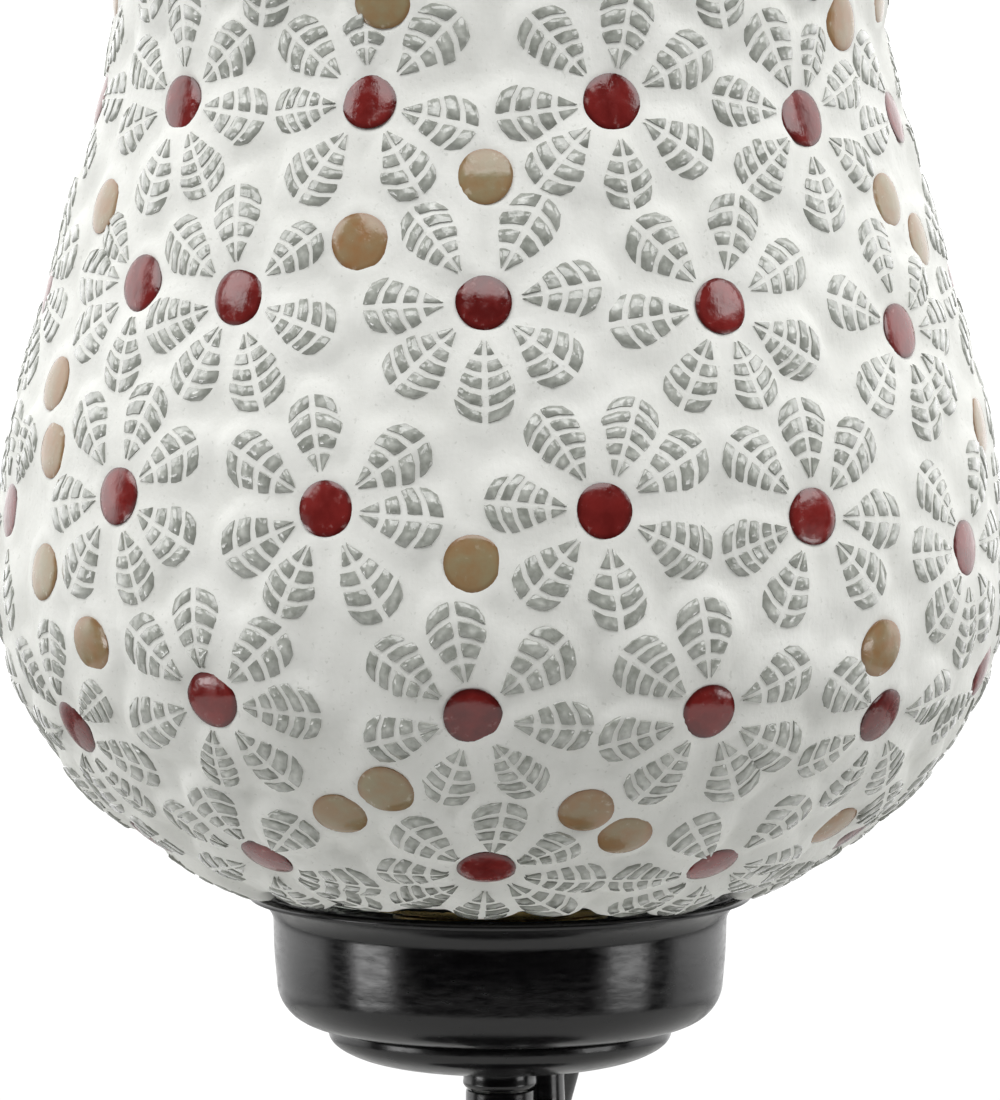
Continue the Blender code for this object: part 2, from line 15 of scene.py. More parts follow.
import bpy
import numpy as np
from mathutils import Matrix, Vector


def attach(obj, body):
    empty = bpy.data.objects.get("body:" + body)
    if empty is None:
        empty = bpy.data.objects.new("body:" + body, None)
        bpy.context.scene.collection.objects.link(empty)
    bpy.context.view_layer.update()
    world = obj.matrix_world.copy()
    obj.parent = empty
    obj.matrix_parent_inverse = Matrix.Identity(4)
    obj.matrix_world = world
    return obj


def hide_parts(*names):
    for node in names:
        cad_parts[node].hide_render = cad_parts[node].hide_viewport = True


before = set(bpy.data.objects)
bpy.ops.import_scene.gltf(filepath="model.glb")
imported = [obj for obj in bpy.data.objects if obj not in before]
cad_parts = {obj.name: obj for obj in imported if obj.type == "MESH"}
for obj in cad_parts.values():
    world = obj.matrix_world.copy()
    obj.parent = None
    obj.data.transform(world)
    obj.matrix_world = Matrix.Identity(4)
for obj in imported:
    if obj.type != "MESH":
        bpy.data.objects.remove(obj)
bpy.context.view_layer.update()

MM = 0.001
SEED = 41
SAME_PLACE = 1e-6
USUAL_HEIGHTS = (0.3, 0.7)
GLASS_IOR = 1.52
LOG = logging.getLogger("lamp")

Colour = tuple[float, float, float]
Outline = list[tuple[float, float]]


class Body(Enum):
    """The moving bodies that a piece can ride on."""

    STAND = "stand"
    SHADE = "shade"
    BULB = "bulb"


class Bead(Enum):
    """The two colours of round glass bead, each with the name of its piece."""

    RED = "red_beads"
    AMBER = "amber_beads"


# ---- node helpers ------------------------------------------------------------------------------
class Bench:
    """Adds and joins the nodes of one node tree."""

    def __init__(self, tree: bpy.types.NodeTree) -> None:
        """Start on a tree.

        Args:
            tree: the node tree of a material, a world or a group.
        """
        self.tree = tree

    def add(self, kind: str, inputs: dict | None = None, **settings: object) -> bpy.types.Node:
        """Add a node.

        Args:
            kind: the node's Blender type.
            inputs: a value or another node's socket for each named or numbered input.
            settings: properties of the node itself.

        Returns:
            The new node.
        """
        node = self.tree.nodes.new(kind)
        for key, value in settings.items():
            setattr(node, key, value)
        for key, value in (inputs or {}).items():
            if isinstance(value, bpy.types.NodeSocket):
                self.tree.links.new(value, node.inputs[key])
            else:
                node.inputs[key].default_value = value
        return node

    def math(self, operation: str, first: object, second: object = 0.0) -> bpy.types.NodeSocket:
        """Return the result of a Math node."""
        return self.add("ShaderNodeMath", {0: first, 1: second}, operation=operation).outputs[0]

    def spread(self, value: object, low: object, high: object, to_low: float = 0.0,
               to_high: float = 1.0) -> bpy.types.NodeSocket:
        """Return a value mapped from one range to another, clamped."""
        inputs = {"Value": value, "From Min": low, "From Max": high, "To Min": to_low,
                  "To Max": to_high}
        return self.add("ShaderNodeMapRange", inputs).outputs["Result"]

    def blend(self, mask: object, first: object, second: object,
              way: str = "MIX") -> bpy.types.NodeSocket:
        """Return two colours mixed by a mask."""
        inputs = {0: mask, 6: as_rgba(first), 7: as_rgba(second)}
        mix = self.add("ShaderNodeMix", inputs, data_type="RGBA", blend_type=way)
        return mix.outputs[2]

    def group(self, tree: bpy.types.NodeTree, **inputs: object) -> bpy.types.Node:
        """Place a node group with its values."""
        node = self.add("ShaderNodeGroup", node_tree=tree)
        for key, value in inputs.items():
            node.inputs[key].default_value = value
        return node

    def mottle(self, **inputs: float) -> bpy.types.Node:
        """Place the group of soft patches with its values."""
        return self.group(mottle_group(), **inputs)

    def share(self, group: bpy.types.Node, part: float) -> bpy.types.NodeSocket:
        """Return a group's Mask made weaker."""
        return self.math("MULTIPLY", group.outputs["Mask"], part)

    def uneven(self, group: bpy.types.Node, low: float,
               high: float) -> bpy.types.NodeSocket:
        """Return a roughness that runs from low to high over a group's usual heights."""
        return self.spread(group.outputs["Height"], *USUAL_HEIGHTS, low, high)

    def painted(self, layer: str) -> bpy.types.NodeSocket:
        """Return a value that the mesh carries at its points."""
        return self.add("ShaderNodeAttribute", attribute_name=layer).outputs["Fac"]

    def join(self, node: bpy.types.Node, **sockets: bpy.types.NodeSocket) -> None:
        """Feed a node's inputs, named with underscores for spaces."""
        for key, socket in sockets.items():
            self.tree.links.new(socket, node.inputs[key.replace("_", " ")])

    def bump(self, height: object, depth: float, strength: float = 1.0,
             under: object = None) -> bpy.types.NodeSocket:
        """Return a normal bumped by a height that stands for so many metres."""
        inputs = {"Height": height, "Distance": depth, "Strength": strength}
        if under is not None:
            inputs["Normal"] = under
        return self.add("ShaderNodeBump", inputs).outputs["Normal"]


def as_rgba(value: object) -> object:
    """Return a colour with its alpha, or a socket as it is."""
    return (*value, 1.0) if isinstance(value, tuple) and len(value) == 3 else value


def new_group(name: str, inputs: dict[str, float], outputs: dict[str, str]
              ) -> tuple[Bench, bpy.types.Node, bpy.types.Node]:
    """Make an empty shader node group.

    Args:
        name: the group's name.
        inputs: each input with its usual value.
        outputs: each output with its socket type.

    Returns:
        A bench on the group's tree, and its input and output nodes.
    """
    tree = bpy.data.node_groups.new(name, "ShaderNodeTree")
    for key, value in inputs.items():
        socket = tree.interface.new_socket(key, in_out="INPUT", socket_type="NodeSocketFloat")
        socket.default_value = value
    for key, kind in outputs.items():
        tree.interface.new_socket(key, in_out="OUTPUT", socket_type=kind)
    bench = Bench(tree)
    return bench, bench.add("NodeGroupInput"), bench.add("NodeGroupOutput")


def cached(name: str, make: Callable[[], bpy.types.NodeTree]) -> bpy.types.NodeTree:
    """Return the node group of this name, made on its first use."""
    return bpy.data.node_groups.get(name) or make()


def mottle_group() -> bpy.types.NodeTree:
    """Soft patches of a size in millimetres: Mask is 0 to 1, Height is around a half."""
    def make() -> bpy.types.NodeTree:
        bench, given, out = new_group(
            "mottle", {"Size": 5.0, "Detail": 3.0, "Low": 0.35, "High": 0.65, "Stretch": 1.0},
            {"Mask": "NodeSocketFloat", "Height": "NodeSocketFloat"})
        place = bench.add("ShaderNodeTexCoord").outputs["Object"]
        squeeze = bench.add("ShaderNodeCombineXYZ",
                            {"X": 1.0, "Y": 1.0, "Z": given.outputs["Stretch"]}).outputs[0]
        place = bench.add("ShaderNodeVectorMath", {0: place, 1: squeeze},
                          operation="MULTIPLY").outputs[0]
        scale = bench.math("DIVIDE", 1000.0, given.outputs["Size"])
        noise = bench.add("ShaderNodeTexNoise", {"Vector": place, "Scale": scale,
                                                 "Detail": given.outputs["Detail"]})
        mask = bench.spread(noise.outputs[0], given.outputs["Low"], given.outputs["High"])
        bench.join(out, Mask=mask, Height=noise.outputs[0])
        return bench.tree
    return cached("mottle", make)


def edge_group() -> bpy.types.NodeTree:
    """Where a surface turns: Ridge marks its outward edges and Crevice its inward corners."""
    def make() -> bpy.types.NodeTree:
        bench, given, out = new_group(
            "edges", {"Start": 0.005, "Reach": 0.06, "Break": 0.5},
            {"Ridge": "NodeSocketFloat", "Crevice": "NodeSocketFloat"})
        turn = bench.add("ShaderNodeNewGeometry").outputs["Pointiness"]
        patches = bench.mottle(Size=2.5, Detail=4.0)
        kept = bench.math("SUBTRACT", 1.0, bench.math(
            "MULTIPLY", given.outputs["Break"], patches.outputs["Mask"]))
        for name, way in (("Ridge", 1.0), ("Crevice", -1.0)):
            away = bench.math("MULTIPLY", bench.math("SUBTRACT", turn, 0.5), way)
            mask = bench.spread(away, given.outputs["Start"], given.outputs["Reach"])
            bench.join(out, **{name: bench.math("MULTIPLY", mask, kept)})
        return bench.tree
    return cached("edges", make)


def dust_group() -> bpy.types.NodeTree:
    """Dust that settles on faces that look up, broken into patches."""
    def make() -> bpy.types.NodeTree:
        bench, given, out = new_group("settled_dust", {"Amount": 0.3, "Size": 4.0},
                                      {"Mask": "NodeSocketFloat"})
        facing = bench.add("ShaderNodeSeparateXYZ",
                           {0: bench.add("ShaderNodeNewGeometry").outputs["Normal"]}).outputs["Z"]
        up = bench.spread(facing, 0.25, 1.0)
        patches = bench.mottle(Detail=6.0, Low=0.3, High=0.75)
        bench.join(patches, Size=given.outputs["Size"])
        mask = bench.math("MULTIPLY", up, patches.outputs["Mask"])
        bench.join(out, Mask=bench.math("MULTIPLY", mask, given.outputs["Amount"]))
        return bench.tree
    return cached("settled_dust", make)


# ---- finishes ----------------------------------------------------------------------------------
@dataclass(frozen=True)
class Finish:
    """A finish of one material; each kind of finish draws its own nodes.

    Attributes:
        name: the material's name.
        slot: the slot of the parts record that the finish belongs to.
        colour: the colour of its body.
        roughness: its usual roughness.
    """

    name: str
    slot: str
    colour: Colour
    roughness: float

    def material(self) -> bpy.types.Material:
        """Return the material, made on its first use."""
        made = bpy.data.materials.get(self.name)
        if made is None:
            made = bpy.data.materials.new(self.name)
            made.use_nodes = True
            bench = Bench(made.node_tree)
            shader = made.node_tree.nodes["Principled BSDF"]
            shader.inputs["Base Color"].default_value = as_rgba(self.colour)
            shader.inputs["Roughness"].default_value = self.roughness
            made.diffuse_color = as_rgba(self.colour)
            self.draw(bench, shader)
        return made

    def draw(self, bench: Bench, shader: bpy.types.Node) -> None:
        """Join this finish's own nodes to the shader.

        Args:
            bench: a bench on the material's tree.
            shader: the material's Principled node.
        """
        raise NotImplementedError


@dataclass(frozen=True)
class Plaster(Finish):
    """Matt plaster, smoothed with a wet brush, with painted shade in its pits and where it meets
    the glass, and painted near-black shade on its uncoated foot.
    """

    shade: Colour = (0.70, 0.705, 0.66)
    # Painted shade: the darker plaster colour laid into pits and inward corners.
    hollow_shade: Colour = (0.50, 0.51, 0.46)
    # Painted shade: the near-black laid on the uncoated foot, standing in for the dark cup and the
    # shadow under the lowest leaves.
    bare_foot_shade: Colour = (0.022, 0.020, 0.017)
    wash: float = 0.45
    speck: float = 0.15
    # Weight of the painted shade in the plaster's small pits.
    pit_shade: float = 0.35
    # Weight of the painted shade in inward corners, where the plaster meets the glass.
    corner: float = 0.55

    def draw(self, bench: Bench, shader: bpy.types.Node) -> None:
        """Join the patches, the painted shade in pits, corners and on the uncoated foot, and the
        brushed bump.
        """
        patches = bench.mottle(Size=14.0, Detail=5.0, Low=0.3, High=0.7)
        grain = bench.mottle(Size=0.9, Detail=6.0, Low=0.3, High=0.7)
        strokes = bench.mottle(Size=2.2, Detail=5.0, Stretch=0.25)
        edges = bench.group(edge_group(), Reach=0.09, Break=0.35)
        colour = bench.blend(bench.share(patches, self.wash), self.colour, self.shade)
        colour = bench.blend(bench.share(grain, self.speck), colour, self.shade)
        # Painted shade: small pits and inward corners are darkened towards the hollow colour.
        shaded_pits = bench.mottle(Size=0.7, Detail=2.0, Low=0.66, High=0.72)
        colour = bench.blend(bench.share(shaded_pits, self.pit_shade), colour, self.hollow_shade)
        corner = bench.math("MULTIPLY", edges.outputs["Crevice"], self.corner)
        colour = bench.blend(corner, colour, self.hollow_shade)
        # Painted shade: the uncoated foot is painted near-black; it is also made glossier.
        bare_foot_shade = bench.painted("bare_foot_shade")
        colour = bench.blend(bare_foot_shade, colour, self.bare_foot_shade)
        rough = bench.uneven(grain, self.roughness - 0.12, self.roughness + 0.1)
        rough = bench.math("SUBTRACT", rough, bench.math("MULTIPLY", bare_foot_shade, 0.5))
        normal = bench.bump(strokes.outputs["Height"], 0.30 * MM, 0.45)
        normal = bench.bump(grain.outputs["Height"], 0.12 * MM, 0.55, normal)
        bench.join(shader, Base_Color=colour, Roughness=rough, Normal=normal)


@dataclass(frozen=True)
class LeafGlass(Finish):
    """Clear pressed glass seen over plaster: grey-green, glossy, each pane its own tone, with
    painted shade along its rim.
    """

    light: Colour = (0.64, 0.655, 0.61)
    # Painted shade: the darker colour laid along each pane's rim, where it dips into the plaster.
    rim: Colour = (0.22, 0.23, 0.20)
    rim_shade_weight: float = 0.7
    pane_share: float = 0.4
    cloud_share: float = 0.6

    def draw(self, bench: Bench, shader: bpy.types.Node) -> None:
        """Join the tone of each pane, the painted shade along its rim and the ripples of the
        pressing.
        """
        tone = bench.painted("tone")
        rim = bench.painted("rim")
        clouds = bench.mottle(Size=1.2, Detail=4.0, Low=0.36, High=0.64)
        ripple = bench.mottle(Size=1.4, Detail=2.0)
        mix = bench.math("ADD", bench.math("MULTIPLY", tone, self.pane_share),
                         bench.share(clouds, self.cloud_share))
        colour = bench.blend(mix, self.colour, self.light)
        # Painted shade: darken each pane towards its rim.
        colour = bench.blend(bench.math("MULTIPLY", rim, self.rim_shade_weight), colour, self.rim)
        rough = bench.uneven(clouds, self.roughness * 0.6, self.roughness * 1.8)
        normal = bench.bump(ripple.outputs["Height"], 0.30 * MM, 0.7)
        shader.inputs["IOR"].default_value = GLASS_IOR
        shader.inputs["Coat Weight"].default_value = 0.8
        shader.inputs["Coat Roughness"].default_value = 0.04
        bench.join(shader, Base_Color=colour, Roughness=rough, Normal=normal)


@dataclass(frozen=True)
class BeadGlass(Finish):
    """Deep coloured glass bead, uneven inside, with fine scratches, smears of plaster and painted
    shade at its rim.
    """

    light: Colour = (0.3, 0.03, 0.03)
    # Painted shade: the dark colour laid round the bead's outer edge, standing in for its contact
    # shadow.
    rim: Colour = (0.03, 0.01, 0.01)
    smear: Colour = (0.55, 0.42, 0.38)
    smear_weight: float = 0.35
    rim_shade_band: tuple[float, float] = (0.82, 1.0)
    smear_band: tuple[float, float] = (0.45, 0.8)

    def draw(self, bench: Bench, shader: bpy.types.Node) -> None:
        """Join the uneven colour, the painted shade at the rim, the smears and the scratches."""
        tone = bench.painted("tone")
        rim = bench.painted("rim")
        clouds = bench.mottle(Size=2.6, Detail=5.0, Low=0.38, High=0.62)
        smears = bench.mottle(Size=1.3, Detail=7.0, Low=0.60, High=0.70)
        scratch = bench.mottle(Size=0.8, Detail=3.0, Stretch=0.12)
        mix = bench.math("ADD", bench.math("MULTIPLY", tone, 0.5),
                         bench.share(clouds, 0.5))
        colour = bench.blend(mix, self.colour, self.light)
        # Painted shade: darken the bead over the outer part of its radius.
        colour = bench.blend(bench.spread(rim, *self.rim_shade_band, 0.0, 0.6), colour, self.rim)
        near_edge = bench.math("MULTIPLY", bench.spread(rim, *self.smear_band),
                               smears.outputs["Mask"])
        smeared = bench.math("MULTIPLY", near_edge, self.smear_weight)
        colour = bench.blend(smeared, colour, self.smear)
        rough = bench.spread(smears.outputs["Height"], 0.4, 0.75, self.roughness,
                             self.roughness + 0.2)
        normal = bench.bump(scratch.outputs["Height"], 0.06 * MM, 0.35)
        normal = bench.bump(clouds.outputs["Height"], 0.35 * MM, 0.4, normal)
        shader.inputs["IOR"].default_value = GLASS_IOR
        shader.inputs["Coat Weight"].default_value = 0.3
        shader.inputs["Coat Roughness"].default_value = 0.03
        bench.join(shader, Base_Color=colour, Roughness=rough, Normal=normal)


@dataclass(frozen=True)
class BlackCoat(Finish):
    """Gloss black coating on metal: fine orange peel, dust, and grey where edges are rubbed."""

    worn: Colour = (0.10, 0.10, 0.10)
    dust: Colour = (0.16, 0.155, 0.145)
    dust_amount: float = 0.05
    rub: float = 0.15

    def draw(self, bench: Bench, shader: bpy.types.Node) -> None:
        """Join the orange peel, the rubbed edges and the dust."""
        peel = bench.mottle(Size=1.1, Detail=3.0, Stretch=1.6)
        streaks = bench.mottle(Size=2.8, Detail=4.0, Stretch=3.5)
        edges = bench.group(edge_group(), Start=0.06, Reach=0.16, Break=0.8)
        dust = bench.group(dust_group(), Amount=self.dust_amount, Size=1.4)
        rub = bench.math("MULTIPLY", edges.outputs["Ridge"], self.rub)
        colour = bench.blend(rub, self.colour, self.worn)
        colour = bench.blend(dust.outputs["Mask"], colour, self.dust)
        rough = bench.uneven(streaks, self.roughness - 0.06, self.roughness + 0.08)
        rough = bench.math("ADD", rough, bench.share(dust, 0.8))
        normal = bench.bump(streaks.outputs["Height"], 0.14 * MM, 0.12)
        normal = bench.bump(peel.outputs["Height"], 0.03 * MM, 0.3, normal)
        bench.join(shader, Base_Color=colour, Roughness=rough, Normal=normal)


@dataclass(frozen=True)
class BareMetal(Finish):
    """Bare or plated metal with a tarnish that gathers in patches and corners."""

    tarnish: Colour = (0.25, 0.18, 0.09)
    tarnish_weight: float = 0.5
    grain_size: float = 0.7

    def draw(self, bench: Bench, shader: bpy.types.Node) -> None:
        """Join the tarnish, the uneven polish and the grain."""
        patches = bench.mottle(Size=5.0, Detail=6.0, Low=0.4, High=0.75)
        grain = bench.mottle(Size=self.grain_size, Detail=4.0, Stretch=4.0)
        edges = bench.group(edge_group(), Reach=0.1, Break=0.4)
        stain = bench.math("MAXIMUM", patches.outputs["Mask"], edges.outputs["Crevice"])
        stain = bench.math("MULTIPLY", stain, self.tarnish_weight)
        colour = bench.blend(stain, self.colour, self.tarnish)
        rough = bench.uneven(grain, self.roughness - 0.06, self.roughness + 0.08)
        rough = bench.math("ADD", rough, bench.math("MULTIPLY", stain, 0.3))
        normal = bench.bump(grain.outputs["Height"], 0.02 * MM, 0.5)
        shader.inputs["Metallic"].default_value = 1.0
        bench.join(shader, Base_Color=colour, Roughness=rough, Normal=normal)


@dataclass(frozen=True)
class Coarse(Finish):
    """Rubber, felt or rough casting: dull, with a grain of its own size and depth."""

    light: Colour = (0.1, 0.1, 0.1)
    grain_size: float = 0.5
    grain_depth: float = 0.1
    metallic: float = 0.0
    sheen: float = 0.0
    dust: Colour = (0.3, 0.29, 0.27)

    def draw(self, bench: Bench, shader: bpy.types.Node) -> None:
        """Join the grain, the paler patches and the dust."""
        grain = bench.mottle(Size=self.grain_size, Detail=6.0)
        patches = bench.mottle(Size=7.0, Detail=4.0)
        dust = bench.group(dust_group(), Amount=0.25, Size=2.0)
        mask = bench.math("MULTIPLY", bench.math("ADD", grain.outputs["Mask"],
                                                 patches.outputs["Mask"]), 0.4)
        colour = bench.blend(mask, self.colour, self.light)
        colour = bench.blend(dust.outputs["Mask"], colour, self.dust)
        rough = bench.uneven(grain, self.roughness - 0.1, min(1.0, self.roughness + 0.08))
        normal = bench.bump(grain.outputs["Height"], self.grain_depth * MM, 0.8)
        shader.inputs["Metallic"].default_value = self.metallic
        shader.inputs["Sheen Weight"].default_value = self.sheen
        bench.join(shader, Base_Color=colour, Roughness=rough, Normal=normal)


@dataclass(frozen=True)
class Glazed(Finish):
    """Porcelain glaze or black cap glass: smooth, with faint waves and specks."""

    speck: Colour = (0.4, 0.38, 0.33)

    def draw(self, bench: Bench, shader: bpy.types.Node) -> None:
        """Join the specks and the waves."""
        specks = bench.mottle(Size=0.8, Detail=5.0, Low=0.68, High=0.74)
        waves = bench.mottle(Size=3.0, Detail=2.0)
        colour = bench.blend(bench.share(specks, 0.6), self.colour, self.speck)
        rough = bench.uneven(waves, self.roughness * 0.7, self.roughness * 1.4)
        normal = bench.bump(waves.outputs["Height"], 0.15 * MM, 0.4)
        bench.join(shader, Base_Color=colour, Roughness=rough, Normal=normal)


@dataclass(frozen=True)
class BlownGlass(Finish):
    """Blown glass, clear or pearl, with soft ripples and a little dust."""

    transmission: float = 1.0
    ripple_depth: float = 0.2
    film: Colour = (0.82, 0.84, 0.80)
    ior: float = 1.5

    def draw(self, bench: Bench, shader: bpy.types.Node) -> None:
        """Join the ripples and the uneven gloss."""
        ripple = bench.mottle(Size=9.0, Detail=2.0)
        film = bench.mottle(Size=2.5, Detail=5.0, Low=0.3, High=0.7)
        tint = bench.blend(bench.share(film, 0.3), self.colour, self.film)
        rough = bench.spread(film.outputs["Height"], 0.35, 0.7, self.roughness,
                             self.roughness + 0.06)
        normal = bench.bump(ripple.outputs["Height"], self.ripple_depth * MM, 0.4)
        shader.inputs["IOR"].default_value = self.ior
        shader.inputs["Transmission Weight"].default_value = self.transmission
        bench.join(shader, Base_Color=tint, Roughness=rough, Normal=normal)


PLASTER = Plaster("plaster_white", "white_plaster", (0.84, 0.845, 0.81), 0.82)
LEAF_GLASS = LeafGlass("leaf_glass", "clear_glass", (0.30, 0.315, 0.28), 0.09)
RED_GLASS = BeadGlass("red_glass", "clear_glass", (0.10, 0.009, 0.008), 0.10,
                      light=(0.21, 0.020, 0.018), rim=(0.02, 0.004, 0.004),
                      smear=(0.42, 0.27, 0.25))
AMBER_GLASS = BeadGlass("amber_glass", "clear_glass", (0.31, 0.165, 0.072), 0.12,
                        light=(0.29, 0.25, 0.145), rim=(0.20, 0.09, 0.035),
                        smear=(0.58, 0.50, 0.40))
BLACK_COAT = BlackCoat("black_coat", "black_metal", (0.0028, 0.0027, 0.0031), 0.20)
PLATED = BareMetal("zinc_plate", "plated_steel", (0.60, 0.60, 0.58), 0.32,
                   tarnish=(0.33, 0.32, 0.28))
BRASS = BareMetal("pressed_brass", "holder_brass", (0.73, 0.53, 0.24), 0.26)
SOLDER = BareMetal("dull_solder", "solder", (0.52, 0.53, 0.55), 0.4, tarnish=(0.25, 0.25, 0.25))
FILAMENT = BareMetal("bare_wire", "tungsten", (0.28, 0.28, 0.29), 0.4,
                     tarnish=(0.12, 0.12, 0.13))
IRON = Coarse("sand_casting", "raw_iron", (0.07, 0.068, 0.065), 0.65, light=(0.15, 0.13, 0.11),
              grain_size=1.2, grain_depth=0.35, metallic=0.7)
RUBBER = Coarse("moulded_rubber", "black_rubber", (0.022, 0.022, 0.022), 0.72,
                light=(0.045, 0.045, 0.044), grain_size=0.4, grain_depth=0.04)
FELT = Coarse("pressed_felt", "base_felt", (0.030, 0.045, 0.038), 0.92,
              light=(0.075, 0.095, 0.085), grain_size=0.35, grain_depth=0.3, sheen=0.4)
PORCELAIN = Glazed("white_glaze", "porcelain", (0.80, 0.79, 0.74), 0.16)
VITRITE = Glazed("black_cap_glass", "black_vitrite", (0.012, 0.012, 0.015), 0.14,
                 speck=(0.05, 0.05, 0.05))
BOWL_GLASS = BlownGlass("bowl_glass", "clear_glass", (0.93, 0.95, 0.92), 0.03)
MOUNT_GLASS = BlownGlass("mount_glass", "clear_glass", (0.94, 0.95, 0.93), 0.04)
PEARL_GLASS = BlownGlass("pearl_glass", "pearl_glass", (0.93, 0.93, 0.90), 0.38,
                         transmission=0.55, ripple_depth=0.05)


# ---- mesh helpers ------------------------------------------------------------------------------
def make_mesh(name: str, points: np.ndarray, faces: Iterable[Sequence[int]],
              sharp_angle: float = 40.0) -> bpy.types.Object:
    """Make a smooth-shaded object from points and faces.

    Args:
        name: the piece's name.
        points: one row of x, y, z for each point, in metres.
        faces: the point numbers of each face.
        sharp_angle: edges that turn more than this many degrees stay sharp.

    Returns:
        The new object, linked to the scene.
    """
    mesh = bpy.data.meshes.new(name)
    mesh.from_pydata(points.tolist(), [], list(faces))
    mesh.update()
    mesh.shade_smooth()
    mesh.set_sharp_from_angle(angle=math.radians(sharp_angle))
    piece = bpy.data.objects.new(name, mesh)
    bpy.context.collection.objects.link(piece)
    return piece


def lathe(name: str, outline: Outline, segments: int = 160, lift: float = 0.0,
          sharp_angle: float = 40.0) -> bpy.types.Object:
    """Turn an outline round the Z axis.

    Args:
        name: the piece's name.
        outline: (radius, height) points, up the outside and down the inside.
        segments: facets round the axis.
        lift: added to every height.
        sharp_angle: edges that turn more than this many degrees stay sharp.

    Returns:
        The turned object.
    """
    turn = np.linspace(0.0, 2 * math.pi, segments, endpoint=False)
    rings: list[list[int]] = []
    points: list[np.ndarray] = []
    count = 0
    for radius, height in outline:
        size = 1 if radius < 1e-7 else segments
        angles = turn[:size]
        points.append(np.column_stack([radius * np.cos(angles), radius * np.sin(angles),
                                       np.full(size, height + lift)]))
        rings.append(list(range(count, count + size)))
        count += size
    faces = []
    for low, high in zip(rings, rings[1:] + rings[:1]):
        for i in range(segments):
            j = (i + 1) % segments
            corners = (low[i % len(low)], low[j % len(low)], high[j % len(high)],
                       high[i % len(high)])
            face = tuple(dict.fromkeys(corners))
            if len(face) > 2:
                faces.append(face)
    return make_mesh(name, np.vstack(points), faces, sharp_angle)


def rounded(corners: Sequence[tuple[float, float, float]], steps: int = 6) -> Outline:
    """Round the corners of an outline.

    Args:
        corners: (radius, height, rounding) for each corner; 0 leaves it sharp.
        steps: points on each rounding.

    Returns:
        The outline's points.
    """
    line: Outline = []
    for i, (radius, height, soft) in enumerate(corners):
        here = Vector((radius, height))
        if soft <= 0.0:
            line.append((radius, height))
            continue
        before = Vector(corners[i - 1][:2]) - here
        after = Vector(corners[(i + 1) % len(corners)][:2]) - here
        start = here + before.normalized() * min(soft, before.length * 0.49)
        end = here + after.normalized() * min(soft, after.length * 0.49)
        for k in range(steps + 1):
            t = k / steps
            point = start * (1 - t) ** 2 + here * (2 * t * (1 - t)) + end * t ** 2
            line.append((point.x, point.y))
    return line


def inset(line: Outline, depth: float) -> Outline:
    """Return the line moved to its left as it runs, square to itself."""
    moved = []
    for i, point in enumerate(line):
        before = Vector(line[max(i - 1, 0)])
        after = Vector(line[min(i + 1, len(line) - 1)])
        along = (after - before).normalized()
        moved.append((point[0] - along.y * depth, point[1] + along.x * depth))
    return moved


def swept_tube(name: str, points: Sequence[tuple[float, float, float]],
               radii: Sequence[float], sides: int = 28) -> bpy.types.Object:
    """Sweep a round section of changing radius along a route, with closed ends.

    Args:
        name: the piece's name.
        points: the route.
        radii: the section's radius at each point of the route.
        sides: facets round the section.

    Returns:
        The swept object.
    """
    route = np.array(points, float)
    along = np.gradient(route, axis=0)
    along /= np.linalg.norm(along, axis=1)[:, None]
    side = np.cross(along, (0.0, 1.0, 0.0))
    side /= np.linalg.norm(side, axis=1)[:, None]
    other = np.cross(along, side)
    turn = np.linspace(0.0, 2 * math.pi, sides, endpoint=False)
    ring = (np.cos(turn)[None, :, None] * side[:, None, :]
            + np.sin(turn)[None, :, None] * other[:, None, :])
    cloud = route[:, None, :] + ring * np.array(radii)[:, None, None]
    faces = []
    for i in range(len(route) - 1):
        for j in range(sides):
            k = (j + 1) % sides
            faces.append((i * sides + j, i * sides + k, (i + 1) * sides + k,
                          (i + 1) * sides + j))
    last = (len(route) - 1) * sides
    faces.append(tuple(range(sides))[::-1])
    faces.append(tuple(range(last, last + sides)))
    return make_mesh(name, cloud.reshape(-1, 3), faces)


def finish_piece(piece: bpy.types.Object, body: Body, finish: Finish, *nodes: str) -> None:
    """Dress a piece, put it on its body and hide the CAD nodes that it stands for.

    Args:
        piece: the new object.
        body: the body that it rides on.
        finish: its finish.
        nodes: the CAD nodes that it replaces.
    """
    piece.data.materials.clear()
    piece.data.materials.append(finish.material())
    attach(piece, body.value)
    if nodes:
        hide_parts(*nodes)
    LOG.info("%s: %d faces, %s", piece.name, len(piece.data.polygons), finish.name)


def dress_node(node: str, finish: Finish) -> None:
    """Give a CAD node that stays as it is its finish."""
    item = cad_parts[node]
    for slot in item.material_slots:
        slot.material = finish.material()
    LOG.info("%s: kept from the frame, %s", node, finish.name)


